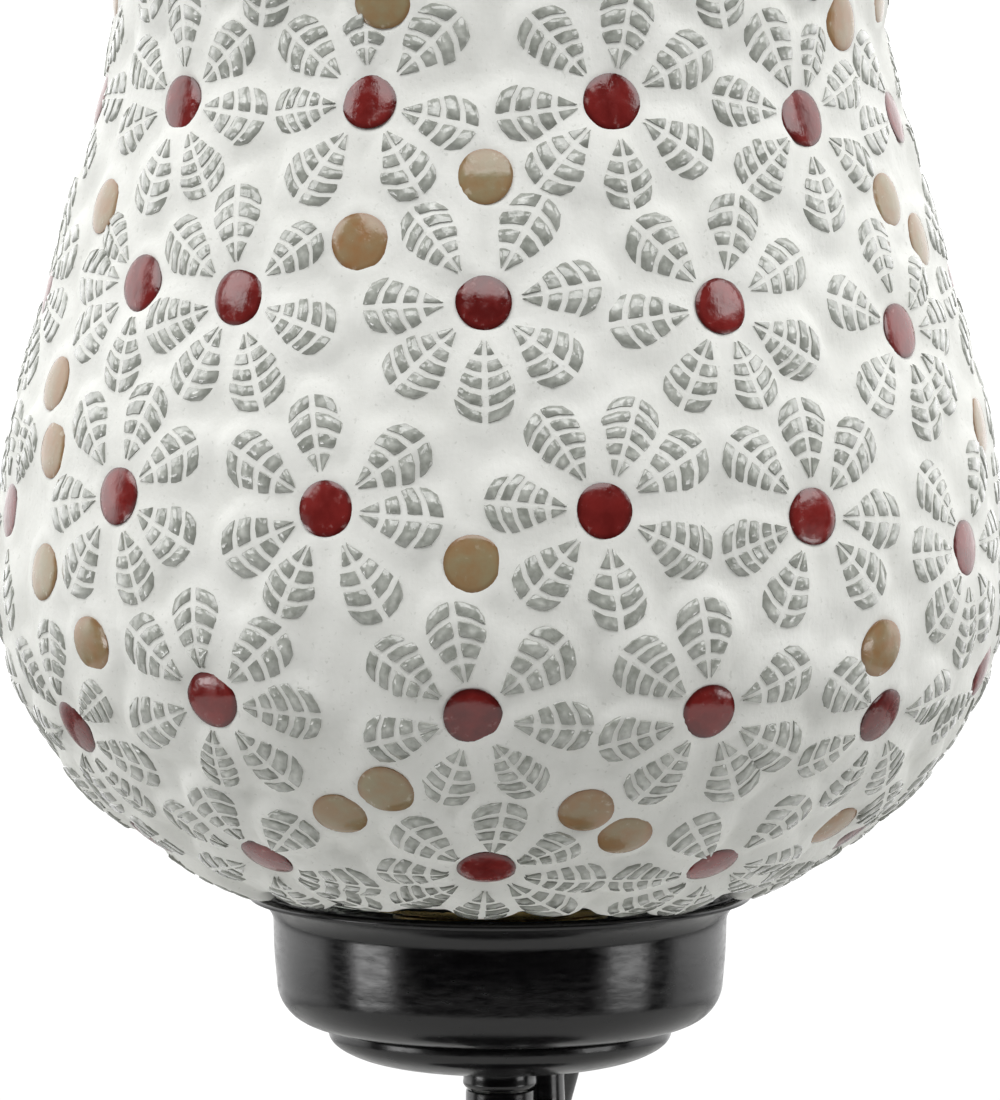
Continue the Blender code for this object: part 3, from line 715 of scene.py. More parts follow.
# ---- mosaic ------------------------------------------------------------------------------------
class ShadeForm:
    """The shade's turned form, measured along its skin.

    A place on the skin is a bearing round the axis, 0 at the front and growing to the viewer's
    right, and a distance in millimetres along the skin from its foot.
    """

    rim_z = 172.0
    foot_radius = 33.0
    widest = 73.2
    widest_height = 47.0
    under_depth = 53.5
    upper = ((73.2, 47.0), (70.6, 69.0), (66.0, 85.5), (61.2, 103.0), (56.6, 119.0),
             (55.5, 132.0), (57.2, 150.0), (60.6, 167.0))
    skin_inset = 0.7

    def __init__(self) -> None:
        """Measure the skin."""
        outer = inset(self.outline(), self.skin_inset)
        line = np.array(outer)
        steps = np.hypot(*np.diff(line, axis=0).T)
        self.stations = np.concatenate([[0.0], np.cumsum(steps)])
        self.radii, self.heights = line[:, 0], line[:, 1]
        self.length = float(self.stations[-1])
        self.lean_r = np.gradient(self.radii, self.stations)
        self.lean_h = np.gradient(self.heights, self.stations)

    def outline(self) -> Outline:
        """Return the plaster's outer line as (radius, height) over the rim, foot first."""
        start = math.asin(self.foot_radius / self.widest)
        line = []
        for t in np.linspace(start, math.pi / 2, 60)[:-1]:
            line.append((self.widest * math.sin(t),
                         self.widest_height - self.under_depth * math.cos(t)))
        knots = [(self.widest, self.widest_height - 12.0), *self.upper]
        knots.append((2 * knots[-1][0] - knots[-2][0], 2 * knots[-1][1] - knots[-2][1]))
        for i in range(1, len(knots) - 2):
            line += catmull_rom(knots[i - 1:i + 3], 10)
        return [*line, self.upper[-1]]

    def along(self, height: float) -> float:
        """Return the distance along the skin of a height over the rim."""
        return float(np.interp(height, self.heights, self.stations))

    def radius(self, station: np.ndarray) -> np.ndarray:
        """Return the radius at a distance along the skin."""
        return np.interp(station, self.stations, self.radii)

    def place(self, bearing: np.ndarray, station: np.ndarray, lift: np.ndarray) -> np.ndarray:
        """Return points over the skin.

        Args:
            bearing: the bearings, in radians.
            station: the distances along the skin.
            lift: the heights over the skin, square to it.

        Returns:
            The points, in metres, in one more dimension than the arguments.
        """
        radius = np.interp(station, self.stations, self.radii)
        height = np.interp(station, self.stations, self.heights)
        out_r = np.interp(station, self.stations, self.lean_h)
        out_h = -np.interp(station, self.stations, self.lean_r)
        radius = radius + out_r * lift
        height = height + out_h * lift
        return MM * np.stack([radius * np.sin(bearing), -radius * np.cos(bearing),
                              height + self.rim_z], axis=-1)


def catmull_rom(knots: Sequence[tuple[float, float]], steps: int) -> Outline:
    """Return points of a smooth curve from the second of four knots up to the third."""
    before, start, end, after = (np.array(k) for k in knots)
    line = []
    for t in np.linspace(0.0, 1.0, steps, endpoint=False):
        point = 0.5 * (2 * start + (end - before) * t
                       + (2 * before - 5 * start + 4 * end - after) * t * t
                       + (3 * start - before - 3 * end + after) * t ** 3)
        line.append((float(point[0]), float(point[1])))
    return line


def smooth_step(value: np.ndarray) -> np.ndarray:
    """Return an S-curve from 0 to 1, clamped."""
    value = np.clip(value, 0.0, 1.0)
    return value * value * (3 - 2 * value)


def wrapped(turn: np.ndarray) -> np.ndarray:
    """Return a difference of bearings, brought to within half a turn of zero."""
    return (turn + math.pi) % (2 * math.pi) - math.pi


@dataclass
class Leaf:
    """One pressed-glass leaf that points at the middle of its flower.

    Inside the leaf, u runs from its tip outwards and v across it, in millimetres.

    Attributes:
        bearing: bearing of the flower's middle, in radians.
        station: its distance along the skin.
        turn: direction of the leaf from that middle, anticlockwise from the viewer's right.
        reach: distance from the flower's middle to the leaf's tip.
        size: scale of the leaf.
        lift: height of its middle over the skin.
        pitch: slope of its top from tip to end.
        roll: slope of its top from side to side.
        fine: whether it is pressed with five bands of panes instead of four.
    """

    bearing: float
    station: float
    turn: float
    reach: float = 4.8
    size: float = 1.0
    lift: float = 1.25
    pitch: float = 0.0
    roll: float = 0.0
    fine: bool = False

    length = 12.0
    half_width = 4.85
    width_power = 1.75
    shoulder = 0.76
    rounding = 0.36
    midrib = 0.27
    side_drop = 0.5
    end_drop = 0.3
    sag_curve = 0.11
    sag_slope = 0.03
    bands = ((0.25, 3.3), (4.0, 6.15), (6.85, 9.15), (9.8, 11.9))
    fine_bands = ((0.25, 2.6), (3.25, 4.95), (5.6, 7.35), (8.0, 9.65), (10.25, 11.9))
    blockers = ((1.5, 0.0, 1.0), (4.2, 0.0, 2.2), (7.6, 0.0, 3.4), (9.4, 1.6, 2.7),
                (9.4, -1.6, 2.7))

    def width(self, distance: np.ndarray) -> np.ndarray:
        """Return half the leaf's width at a distance from its tip."""
        part = np.clip(distance / self.length, 0.0, 1.0)
        past = np.clip((part - self.shoulder) / self.rounding, 0.0, 1.0)
        return self.half_width * (1 - (1 - part) ** self.width_power) * np.sqrt(1 - past ** 2)

    def sag(self, v: np.ndarray) -> np.ndarray:
        """Return how far the bands bend back towards the tip at this distance from the midrib."""
        return self.sag_curve * v * v + self.sag_slope * np.abs(v)

    def inside(self, x: np.ndarray, y: np.ndarray) -> tuple[np.ndarray, np.ndarray]:
        """Return u and v of places measured from the flower's middle."""
        c, s = math.cos(self.turn), math.sin(self.turn)
        return (x * c + y * s - self.reach) / self.size, (y * c - x * s) / self.size

    def outside(self, u: np.ndarray, v: np.ndarray) -> tuple[np.ndarray, np.ndarray]:
        """Return the places, measured from the flower's middle, of u and v."""
        c, s = math.cos(self.turn), math.sin(self.turn)
        out = self.reach + u * self.size
        return out * c - v * self.size * s, out * s + v * self.size * c

    def top(self, u: np.ndarray, v: np.ndarray) -> np.ndarray:
        """Return the height of the glass over the skin."""
        half = self.length / 2
        return (self.lift - self.side_drop * (v / self.half_width) ** 2
                - self.end_drop * ((u - half) / half) ** 2 + self.pitch * (u - half)
                + self.roll * v)

    def gap_to(self, u: np.ndarray, v: np.ndarray) -> np.ndarray:
        """Return the distance out from the leaf's edge, negative inside it."""
        distance = u + self.sag(v)
        past_side = np.abs(v) - self.width(distance)
        past_end = np.maximum(-distance, distance - self.length)
        outside = np.hypot(np.maximum(past_side, 0.0), np.maximum(past_end, 0.0))
        return outside + np.minimum(np.maximum(past_side, past_end), 0.0)


@dataclass
class Disc:
    """One round glass bead.

    Attributes:
        bearing: its bearing, in radians.
        station: its distance along the skin.
        kind: its colour.
        radius: its radius, in millimetres.
        smear: direction from which plaster laps over it, or None.
    """

    bearing: float
    station: float
    kind: Bead
    radius: float = 4.0
    smear: float | None = None

    edge_height = 0.46
    crown = 0.6
    flatness = 0.92

    def top(self, part: np.ndarray) -> np.ndarray:
        """Return the bead's height over the skin at a part of its radius."""
        part = np.clip(part, 0.0, 1.0)
        return self.edge_height + self.crown * np.sqrt(1 - self.flatness * part ** 2)


@dataclass(frozen=True)
class Flower:
    """A red bead with leaves round it.

    Attributes:
        bearing: its bearing in degrees.
        height: its height over the rim in millimetres.
        petals: directions of its leaves in degrees, or none to have them fitted in.
    """

    bearing: float
    height: float
    petals: tuple[float, ...] = ()


@dataclass
class Mosaic:
    """Lays the flowers and beads out on the shade and makes their glass.

    Attributes:
        form: the shade's form.
        rows: the flowers of each ring, named from the foot up.
        ambers: bearing in degrees and height of each amber bead, and, where plaster laps
            over it, the direction that the plaster comes from.
    """

    form: ShadeForm
    rows: dict[str, tuple[Flower, ...]]
    ambers: tuple[tuple[float, ...], ...]
    leaves: dict[str, list[Leaf]] = field(default_factory=dict)
    discs: list[Disc] = field(default_factory=list)

    overlap_allowed = 0.75
    overlap_eased = 0.25
    smallest = 0.84
    foot_lift = 0.7
    foot_reach = 75.0
    ease_step = 0.03
    petal_counts = (8, 7)
    shifts = 12
    clash_cost = 0.5
    turn_spread = 0.03
    reach_range = (-0.3, 0.5)
    size_range = (0.95, 1.04)
    lift_spread = 0.10
    pitch_spread = 0.030
    roll_spread = 0.04
    fine_share = 0.25
    lapped_share = 0.35
    bead_sizes = (0.96, 1.03)
    covered_margin = 0.25
    covered_window = 30.0
    bead_margin = 0.5
    bead_rings = (0.3, 0.6, 0.82, 0.94, 1.0, 1.0)
    bead_steps = 32
    bead_waves = ((2, 0.012), (3, 0.010))
    bead_foot = -0.3
    bead_tilt = 0.02
    pane_trim = (0.86, 1.0)
    pane_grid = (-1.0, -0.84, 0.0, 0.84, 1.0)
    pane_crown = 0.10
    pane_shoulder = 0.04
    pane_edge = -0.30
    pane_foot = -0.75
    pane_jitter = 0.06
    pane_uneven = 0.03
    pane_corner = 0.10
    edge_level = 0.95
    crown_level = 0.5
    narrowest = 0.1
    skin_end = 1.2
    skin_margin = 0.2

    def lay_out(self) -> None:
        """Place every bead, then the leaves of each flower where they fit."""
        draw = np.random.default_rng(SEED)
        for name, flowers in self.rows.items():
            self.leaves[name] = []
            for flower in flowers:
                self.discs.append(self.disc(flower.bearing, flower.height, Bead.RED, draw))
        for bearing, height, *lap in self.ambers:
            disc = self.disc(bearing, height, Bead.AMBER, draw)
            if lap:
                disc.smear = math.radians(lap[0])
            self.discs.append(disc)
        ordered = [(name, flower) for name, flowers in self.rows.items() for flower in flowers]
        ordered.sort(key=lambda pair: not pair[1].petals)
        taken = np.array([[d.bearing, d.station, d.radius + self.bead_margin]
                          for d in self.discs])
        for name, flower in ordered:
            station = self.form.along(flower.height)
            bearing = math.radians(flower.bearing)
            if flower.petals:
                turns = [math.radians(p) for p in flower.petals]
            else:
                turns = self.fitted(bearing, station, taken, draw)
            leaves = [self.leaf(bearing, station, turn, draw) for turn in turns]
            for leaf in leaves:
                self.ease(leaf, taken)
                leaf.lift += self.foot_lift * (1 - smooth_step(station / self.foot_reach))
            self.leaves[name] += leaves
            taken = np.vstack([taken, *(self.blocks(leaf) for leaf in leaves)])

    def ease(self, leaf: Leaf, taken: np.ndarray) -> None:
        """Make a leaf smaller, within limits, until it clears what is already laid."""
        others = self.others(taken, leaf.bearing, leaf.station)
        while leaf.size > self.smallest and self.clash(leaf, others) > self.overlap_eased:
            leaf.size -= self.ease_step

    @staticmethod
    def others(taken: np.ndarray, bearing: float, station: float) -> np.ndarray:
        """Return what is already laid, without the bead at this place."""
        own = ((np.abs(taken[:, 0] - bearing) < SAME_PLACE)
               & (np.abs(taken[:, 1] - station) < SAME_PLACE))
        return taken[~own]

    def disc(self, bearing: float, height: float, kind: Bead,
             draw: np.random.Generator) -> Disc:
        """Return a bead, some of them lapped by plaster."""
        smear = draw.uniform(0.0, 2 * math.pi) if draw.random() < self.lapped_share else None
        return Disc(math.radians(bearing), self.form.along(height), kind,
                    Disc.radius * draw.uniform(*self.bead_sizes), smear)

    def leaf(self, bearing: float, station: float, turn: float,
             draw: np.random.Generator) -> Leaf:
        """Return a leaf with the small differences of one set by hand."""
        return Leaf(bearing, station, turn + draw.normal(0.0, self.turn_spread),
                    Leaf.reach + draw.uniform(*self.reach_range),
                    draw.uniform(*self.size_range),
                    Leaf.lift + draw.normal(0.0, self.lift_spread),
                    draw.normal(0.0, self.pitch_spread), draw.normal(0.0, self.roll_spread),
                    draw.random() < self.fine_share)

    def blocks(self, leaf: Leaf) -> np.ndarray:
        """Return bearing, station and radius of the circles that fill a leaf."""
        shape = np.array(leaf.blockers)
        x, y = leaf.outside(shape[:, 0], shape[:, 1])
        station = leaf.station + y
        return np.column_stack([leaf.bearing + x / self.form.radius(station), station,
                                shape[:, 2] * leaf.size])

    def clash(self, leaf: Leaf, taken: np.ndarray) -> float:
        """Return how deep a leaf would run into what is already laid."""
        mine = self.blocks(leaf)
        turn = wrapped(mine[:, None, 0] - taken[None, :, 0])
        across = turn * self.form.radius(mine[:, 1])[:, None]
        apart = np.hypot(across, mine[:, None, 1] - taken[None, :, 1])
        return float((mine[:, None, 2] + taken[None, :, 2] - apart).max())

    def fitted(self, bearing: float, station: float, taken: np.ndarray,
               draw: np.random.Generator) -> list[float]:
        """Return the directions of as many leaves as fit round a flower."""
        others = self.others(taken, bearing, station)
        best: tuple[float, list[float]] = (-1.0, [])
        for count in self.petal_counts:
            start = draw.uniform(0.0, 2 * math.pi / count)
            for shift in np.linspace(0.0, 2 * math.pi / count, self.shifts, endpoint=False):
                kept, score = [], 0.0
                for turn in start + shift + np.arange(count) * 2 * math.pi / count:
                    clash = self.clash(Leaf(bearing, station, turn), others)
                    if clash < self.overlap_allowed:
                        kept.append(float(turn))
                        score += 1.0 - self.clash_cost * max(clash, 0.0)
                if score > best[0]:
                    best = (score, kept)
        return best[1]

    def rivals(self, leaf: Leaf) -> list[Leaf]:
        """Return the leaves laid before this one that may lie under its panes."""
        reach = 2 * (leaf.reach + leaf.length)
        found = []
        for other in itertools.chain.from_iterable(self.leaves.values()):
            if other is leaf:
                break
            turn = wrapped(other.bearing - leaf.bearing)
            across = turn * self.form.radii.max()
            if math.hypot(across, other.station - leaf.station) < reach:
                found.append(other)
        return found

    def covered(self, bearing: float, station: float, rivals: list[Leaf]) -> bool:
        """Say whether a place is already taken by another leaf or a bead."""
        radius = float(self.form.radius(station))
        for thing in (*rivals, *self.discs):
            turn = wrapped(bearing - thing.bearing)
            x, y = turn * radius, station - thing.station
            if abs(x) + abs(y) > self.covered_window:
                continue
            if isinstance(thing, Disc):
                if math.hypot(x, y) < thing.radius + self.bead_margin:
                    return True
            elif float(thing.gap_to(*thing.inside(np.array(x), np.array(y)))) \
                    < self.covered_margin:
                return True
        return False

    def on_skin(self, station: np.ndarray) -> np.ndarray:
        """Return distances along the skin, held just inside its two ends."""
        return np.clip(station, self.skin_margin, self.form.length - self.skin_margin)

    def panes(self, leaves: list[Leaf], draw: np.random.Generator
              ) -> tuple[np.ndarray, list[tuple[int, ...]], np.ndarray, np.ndarray]:
        """Make the panes of some leaves.

        Args:
            leaves: the leaves.
            draw: the source of the small differences.

        Returns:
            Points, faces, and a tone and a rim mask for each point.
        """
        grid = np.array(self.pane_grid)
        size = len(grid)
        t, s = (part.ravel() for part in np.meshgrid(grid, grid, indexing="ij"))
        soften = 1 - self.pane_corner * (s * s * t * t) ** 2
        s, t = s * soften, t * soften
        level = np.maximum(np.abs(s / soften), np.abs(t / soften))
        at_edge = level > self.edge_level
        rise = np.select([at_edge, level > self.crown_level],
                         [self.pane_edge, self.pane_shoulder], self.pane_crown)
        number = np.arange(size * size).reshape(size, size)
        border = [*number[0, :-1], *number[:-1, -1], *number[-1, :0:-1], *number[:0:-1, 0]]
        top_faces = [(number[i, j], number[i + 1, j], number[i + 1, j + 1], number[i, j + 1])
                     for i in range(size - 1) for j in range(size - 1)]
        foot = size * size
        skirt = [(border[i], border[(i + 1) % len(border)], foot + (i + 1) % len(border),
                  foot + i) for i in range(len(border))]
        clouds, tones, rims, faces = [], [], [], []
        count = 0
        for leaf in leaves:
            rivals = self.rivals(leaf)
            for low, high in (leaf.fine_bands if leaf.fine else leaf.bands):
                for side in (-1, 1):
                    trim = draw.uniform(*self.pane_trim)
                    distance = low + (high - low) * (t + 1) / 2
                    outer = np.maximum(leaf.width(distance) * trim,
                                       leaf.midrib + self.narrowest)
                    v = side * (leaf.midrib + (outer - leaf.midrib) * (s + 1) / 2)
                    jitter = draw.normal(0.0, self.pane_jitter, (2, len(v)))
                    v = v + jitter[0] * at_edge
                    u = distance - leaf.sag(v) + jitter[1] * at_edge
                    lift = leaf.top(u, v) + rise + draw.normal(0.0, self.pane_uneven)
                    u = np.concatenate([u, u[border]])
                    v = np.concatenate([v, v[border]])
                    low_lift = leaf.top(u[-len(border):], v[-len(border):]) + self.pane_foot
                    lift = np.concatenate([lift, low_lift])
                    x, y = leaf.outside(u, v)
                    station = leaf.station + y
                    middle = float(station.mean())
                    if not self.skin_end < middle < self.form.length - self.skin_end:
                        continue
                    station = self.on_skin(station)
                    bearing = leaf.bearing + x / self.form.radius(station)
                    tone = draw.random()
                    if self.covered(float(bearing.mean()), middle, rivals):
                        continue
                    clouds.append(self.form.place(bearing, station, lift))
                    tones.append(np.full(len(u), tone))
                    rims.append(np.concatenate([smooth_step((level - self.crown_level) * 2),
                                                np.ones(len(border))]))
                    order = 1 if side < 0 else -1
                    faces += [tuple(int(k) + count for k in face[::order])
                              for face in (*top_faces, *skirt)]
                    count += len(u)
        return np.vstack(clouds), faces, np.concatenate(tones), np.concatenate(rims)

    def beads(self, kind: Bead, draw: np.random.Generator
              ) -> tuple[np.ndarray, list[tuple[int, ...]], np.ndarray, np.ndarray]:
        """Make the beads of one colour; arguments and results as for panes."""
        parts = np.array(self.bead_rings)
        steps = self.bead_steps
        turn = np.linspace(0.0, 2 * math.pi, steps, endpoint=False)
        clouds, tones, rims, faces = [], [], [], []
        count = 0
        for disc in self.discs:
            if disc.kind is not kind:
                continue
            wobble = np.ones(steps)
            for waves, depth in self.bead_waves:
                wobble = wobble + depth * np.cos(waves * turn + draw.uniform(0, 6.28))
            rho = np.concatenate([[0.0], np.outer(parts, wobble).ravel() * disc.radius])
            angle = np.concatenate([[0.0], np.tile(turn, len(parts))])
            x, y = rho * np.cos(angle), rho * np.sin(angle)
            lift = disc.top(np.concatenate([[0.0], np.repeat(parts, steps)]))
            lift[-steps:] = self.bead_foot
            tilt = draw.normal(0.0, self.bead_tilt, 2)
            lift = lift + tilt[0] * x + tilt[1] * y
            station = self.on_skin(disc.station + y)
            clouds.append(self.form.place(disc.bearing + x / self.form.radius(station), station,
                                          lift))
            tones.append(np.full(len(x), draw.random()))
            rims.append(np.concatenate([[0.0], np.repeat(parts, steps)]))
            for j in range(steps):
                k = (j + 1) % steps
                faces.append((count, count + 1 + j, count + 1 + k))
                for i in range(len(parts) - 1):
                    low, high = count + 1 + i * steps, count + 1 + (i + 1) * steps
                    faces.append((low + j, high + j, high + k, low + k))
            count += len(x)
        return np.vstack(clouds), faces, np.concatenate(tones), np.concatenate(rims)

    def build(self) -> None:
        """Make the panes of each ring of flowers and the beads of each colour."""
        draw = np.random.default_rng(SEED + 1)
        for name, leaves in self.leaves.items():
            self.dress(f"leaf_panes_{name}", self.panes(leaves, draw), LEAF_GLASS)
        for kind, finish in ((Bead.RED, RED_GLASS), (Bead.AMBER, AMBER_GLASS)):
            self.dress(kind.value, self.beads(kind, draw), finish)

    @staticmethod
    def dress(name: str, made: tuple, finish: Finish) -> None:
        """Make a piece of glass from its points, faces, tones and rims."""
        points, faces, tones, rims = made
        piece = make_mesh(name, points, faces, 60.0)
        for key, values in (("tone", tones), ("rim", rims)):
            layer = piece.data.attributes.new(key, "FLOAT", "POINT")
            layer.data.foreach_set("value", values.astype(np.float32))
        finish_piece(piece, Body.SHADE, finish)


@dataclass
class PlasterCoat:
    """The plaster that covers the bowl and holds the glass, as one closed skin.

    Attributes:
        form: the shade's form.
        mosaic: the laid-out mosaic, which raises the mounds.
    """

    form: ShadeForm
    mosaic: Mosaic

    columns: int = 504
    rows: int = 184
    backing_rows: int = 8
    backing: float = 2.45
    below_glass: float = 0.14
    margin: float = 0.35
    fall: float = 3.0
    cap_gap: float = 0.1
    held: float = 0.35
    held_reach: float = 1.5
    bead_ring: float = 0.74
    bead_gap: float = 0.2
    bead_cut: float = 0.4
    bead_clear: float = 1.2
    under_bead: float = 0.1
    lap_height: float = 0.18
    lap_start: float = 0.62
    lap_rise: float = 0.8
    lap_fall: float = 1.5
    brush_marks: tuple = ((4.5, 0.08), (1.4, 0.035))
    mean_radius: float = 62.0
    lip: tuple = ((0.35, 0.55), (1.0, 0.8))
    # The uncoated foot below the lowest mounds sinks into the skin; the plaster finish paints it
    # near-black as shade.
    bare_low: float = 4.0
    bare_fade: float = 3.5
    bare_depth: float = 1.5
    bare_mound: float = 0.7
    window: float = 22.0

    def build(self) -> None:
        """Make the coat: a mounded outer skin, a rounded lip and a plain inner skin."""
        bearing = np.linspace(-math.pi, math.pi, self.columns, endpoint=False)
        station = np.linspace(0.0, self.form.length, self.rows)
        lift, bare_foot_shade = self.mounds(bearing, station)
        turn, along = np.meshgrid(bearing, station)
        rings = [self.form.place(turn, along, lift)]
        inner = inset(self.form.outline(), self.backing)
        lip_radius, lip_height = self.form.radii[-1], self.form.heights[-1]
        edge = [(lip_radius - inward, lip_height + up) for inward, up in self.lip]
        back = [inner[i] for i in np.linspace(len(inner) - 1, 0, self.backing_rows).astype(int)]
        for radius, height in edge + back:
            rings.append(MM * np.stack([radius * np.sin(bearing), -radius * np.cos(bearing),
                                        np.full_like(bearing, height + self.form.rim_z)],
                                       axis=-1)[None])
        cloud = np.vstack([ring.reshape(-1, 3) for ring in rings])
        count = len(cloud) // self.columns
        row = np.arange(count)[:, None]
        column = np.arange(self.columns)[None, :]
        beside = (column + 1) % self.columns
        above = (row + 1) % count
        faces = np.stack([row * self.columns + column, row * self.columns + beside,
                          above * self.columns + beside, above * self.columns + column],
                         axis=-1).reshape(-1, 4)
        piece = make_mesh("plaster_skin", cloud, faces.tolist(), 70.0)
        mask = np.zeros(len(cloud), np.float32)
        mask[:bare_foot_shade.size] = bare_foot_shade.ravel()
        piece.data.attributes.new("bare_foot_shade", "FLOAT", "POINT").data.foreach_set("value", mask)
        finish_piece(piece, Body.SHADE, PLASTER, "plaster_coat")

    def mounds(self, bearing: np.ndarray, station: np.ndarray
               ) -> tuple[np.ndarray, np.ndarray]:
        """Return the height of the plaster over the skin and the mask of its uncoated foot, which
        is painted dark as shade.

        Args:
            bearing: the bearings of the grid's columns.
            station: the distances along the skin of its rows.

        Returns:
            The heights, and that foot mask from 0 to 1, rows by columns.
        """
        lift = np.zeros((len(station), len(bearing)))
        leaves = list(itertools.chain.from_iterable(self.mosaic.leaves.values()))
        for leaf in leaves:
            x, y, rows, columns = self.near(leaf, bearing, station)
            u, v = leaf.inside(x, y)
            gap = leaf.gap_to(u, v)
            near_u = np.clip(u, 0.0, leaf.length)
            near_v = np.clip(v, -leaf.half_width, leaf.half_width)
            mound = leaf.top(near_u, near_v) - self.below_glass
            mound *= 1 - smooth_step((gap - self.margin) / self.fall)
            lift[rows, columns] = np.maximum(lift[rows, columns], mound)
        free = np.ones_like(lift)
        for leaf in leaves:
            x, y, rows, columns = self.near(leaf, bearing, station)
            u, v = leaf.inside(x, y)
            gap = leaf.gap_to(u, v)
            cap = np.where(gap < self.cap_gap, leaf.top(u, v) - self.below_glass, np.inf)
            lift[rows, columns] = np.minimum(lift[rows, columns], cap)
            away = self.held + (1 - self.held) * smooth_step(gap / self.held_reach)
            free[rows, columns] = np.minimum(free[rows, columns], away)
        for disc in self.mosaic.discs:
            x, y, rows, columns = self.near(disc, bearing, station)
            away = np.hypot(x, y)
            past = away - disc.radius
            ring = self.bead_ring * (1 - smooth_step((past - self.bead_gap) / self.fall))
            ring = np.where(away < disc.radius - self.bead_cut, self.under_bead, ring)
            patch = np.maximum(lift[rows, columns] * smooth_step(past / self.bead_clear), ring)
            if disc.smear is not None:
                toward = x * math.cos(disc.smear) + y * math.sin(disc.smear)
                lap = disc.top(away / disc.radius) + self.lap_height
                weight = smooth_step((toward - self.lap_start * disc.radius) / self.lap_rise)
                weight *= 1 - smooth_step(past / self.lap_fall)
                patch = np.maximum(patch, lap * weight)
            lift[rows, columns] = patch
        lift = self.blurred(lift)
        lift += free * sum(self.unevenness(lift.shape, size, depth)
                           for size, depth in self.brush_marks)
        # Mask of the uncoated foot: it sinks the skin there, and the plaster finish paints it
        # near-black as shade.
        bare_foot_shade = 1 - smooth_step((station[:, None] - self.bare_low) / self.bare_fade)
        bare_foot_shade = bare_foot_shade * (1 - smooth_step(lift / self.bare_mound))
        return lift - self.bare_depth * bare_foot_shade, bare_foot_shade

    def near(self, thing: Leaf | Disc, bearing: np.ndarray, station: np.ndarray
             ) -> tuple[np.ndarray, np.ndarray, np.ndarray, np.ndarray]:
        """Return offsets from a thing to the grid's points near it, and their rows and columns."""
        rows = np.nonzero(np.abs(station - thing.station) < self.window)[0]
        turn = wrapped(bearing - thing.bearing)
        radius = self.form.radius(station[rows])
        columns = np.nonzero(np.abs(turn) * radius.min() < self.window)[0]
        x = turn[columns][None, :] * radius[:, None]
        y = np.broadcast_to((station[rows] - thing.station)[:, None], x.shape)
        return x, y, rows[:, None], columns[None, :]

    @staticmethod
    def blurred(lift: np.ndarray) -> np.ndarray:
        """Return the heights smoothed by a small brush."""
        lift = (np.roll(lift, 1, 1) + 2 * lift + np.roll(lift, -1, 1)) / 4
        padded = np.vstack([lift[:1], lift, lift[-1:]])
        return (padded[:-2] + 2 * padded[1:-1] + padded[2:]) / 4

    def unevenness(self, shape: tuple[int, int], size: float, depth: float) -> np.ndarray:
        """Return soft random heights with bumps of about this size and depth."""
        draw = np.random.default_rng(SEED + int(size * 10))
        noise = draw.normal(0.0, 1.0, shape)
        across = 2 * math.pi * self.mean_radius / shape[1]
        rise = self.form.length / shape[0]
        fx = np.fft.fftfreq(shape[1], across)[None, :]
        fy = np.fft.fftfreq(shape[0], rise)[:, None]
        keep = np.exp(-2 * (math.pi * size) ** 2 * (fx ** 2 + fy ** 2) / 4)
        soft = np.fft.ifft2(np.fft.fft2(noise) * keep).real
        return depth * soft / soft.std()


def flowers(*places: tuple) -> tuple[Flower, ...]:
    """Return flowers from bearing, height and, where it is given, their leaves' directions."""
    return tuple(Flower(*place) for place in places)


ROWS: dict[str, tuple[Flower, ...]] = {
    "low": flowers((-38, 11, (-15, 43, 96, 141, 200, 260, 308)),
                   (-2, 11, (-9, 31, 81, 136, 180, 219, 266, 309)),
                   (35, 10, (-4, 63, 128, 185, 237, 285, 330)),
                   (71, 11), (107, 10), (143, 11), (179, 11), (-145, 10), (-109, 11), (-74, 10)),
    "belly": flowers((-61.5, 28, (31, 87, 137, 185, 245, 295, 339)),
                     (-34, 35, (-5, 40, 97, 145, 197, 261, 309)),
                     (-3, 34, (-7, 42, 101, 147, 196, 252, 306)),
                     (24, 34, (24, 97, 145, 199, 240, 296, 335)),
                     (50, 31, (5, 150, 206, 262, 306)),
                     (77, 34), (104, 33), (131, 34), (158, 35), (-175, 34), (-148, 33),
                     (-119, 35), (-90, 33)),
    "waist": flowers((-76, 57), (-48, 62, (-23, 27, 74, 133, 187, 236, 293)),
                     (-19.5, 62, (-10, 39, 101, 150, 204, 249, 303)),
                     (11.5, 62, (-29, 30, 70, 124, 173, 227, 279)),
                     (37, 60, (-4, 43, 91, 140, 196, 243, 312)),
                     (65, 53, (0, 55, 134, 180, 223, 270, 310)),
                     (92, 61), (120, 62), (148, 61), (176, 62), (-156, 61), (-130, 62),
                     (-103, 60)),
    "middle": flowers((-51, 91, (147, 182, 218, 268)),
                      (-34, 90, (-18, 42, 103, 150, 200, 245, 292)),
                      (-2, 90, (9, 60, 127, 183, 226, 271, 320)),
                      (28, 89, (26, 72, 133, 188, 241, 289, 328)),
                      (58, 84, (-2, 40, 96, 157, 220, 276, 319)),
                      (88, 89), (119, 90), (150, 89), (-179, 90), (-148, 89), (-117, 90),
                      (-84, 88)),
    "shoulder": flowers((-51, 116, (-6, 45, 99, 153, 197, 261, 310)),
                        (-18.5, 117, (-12, 46, 98, 141, 191, 236, 305)),
                        (15.7, 117, (27, 79, 135, 186, 229, 278, 326)),
                        (47, 114, (20, 65, 114, 170, 217, 273, 327)),
                        (76, 113), (109, 116), (142, 117), (175, 116), (-152, 117),
                        (-119, 116), (-85, 115)),
    "neck": flowers(*((bearing, 143) for bearing in (-34, -1, 31, 62, 94, 127, 160, -167, -134,
                                                      -101, -67))),
    "mouth": flowers(*((bearing, 162) for bearing in (-17, 15, 47, 79, 111, 144, 176, -151,
                                                       -118, -85, -51))),
}
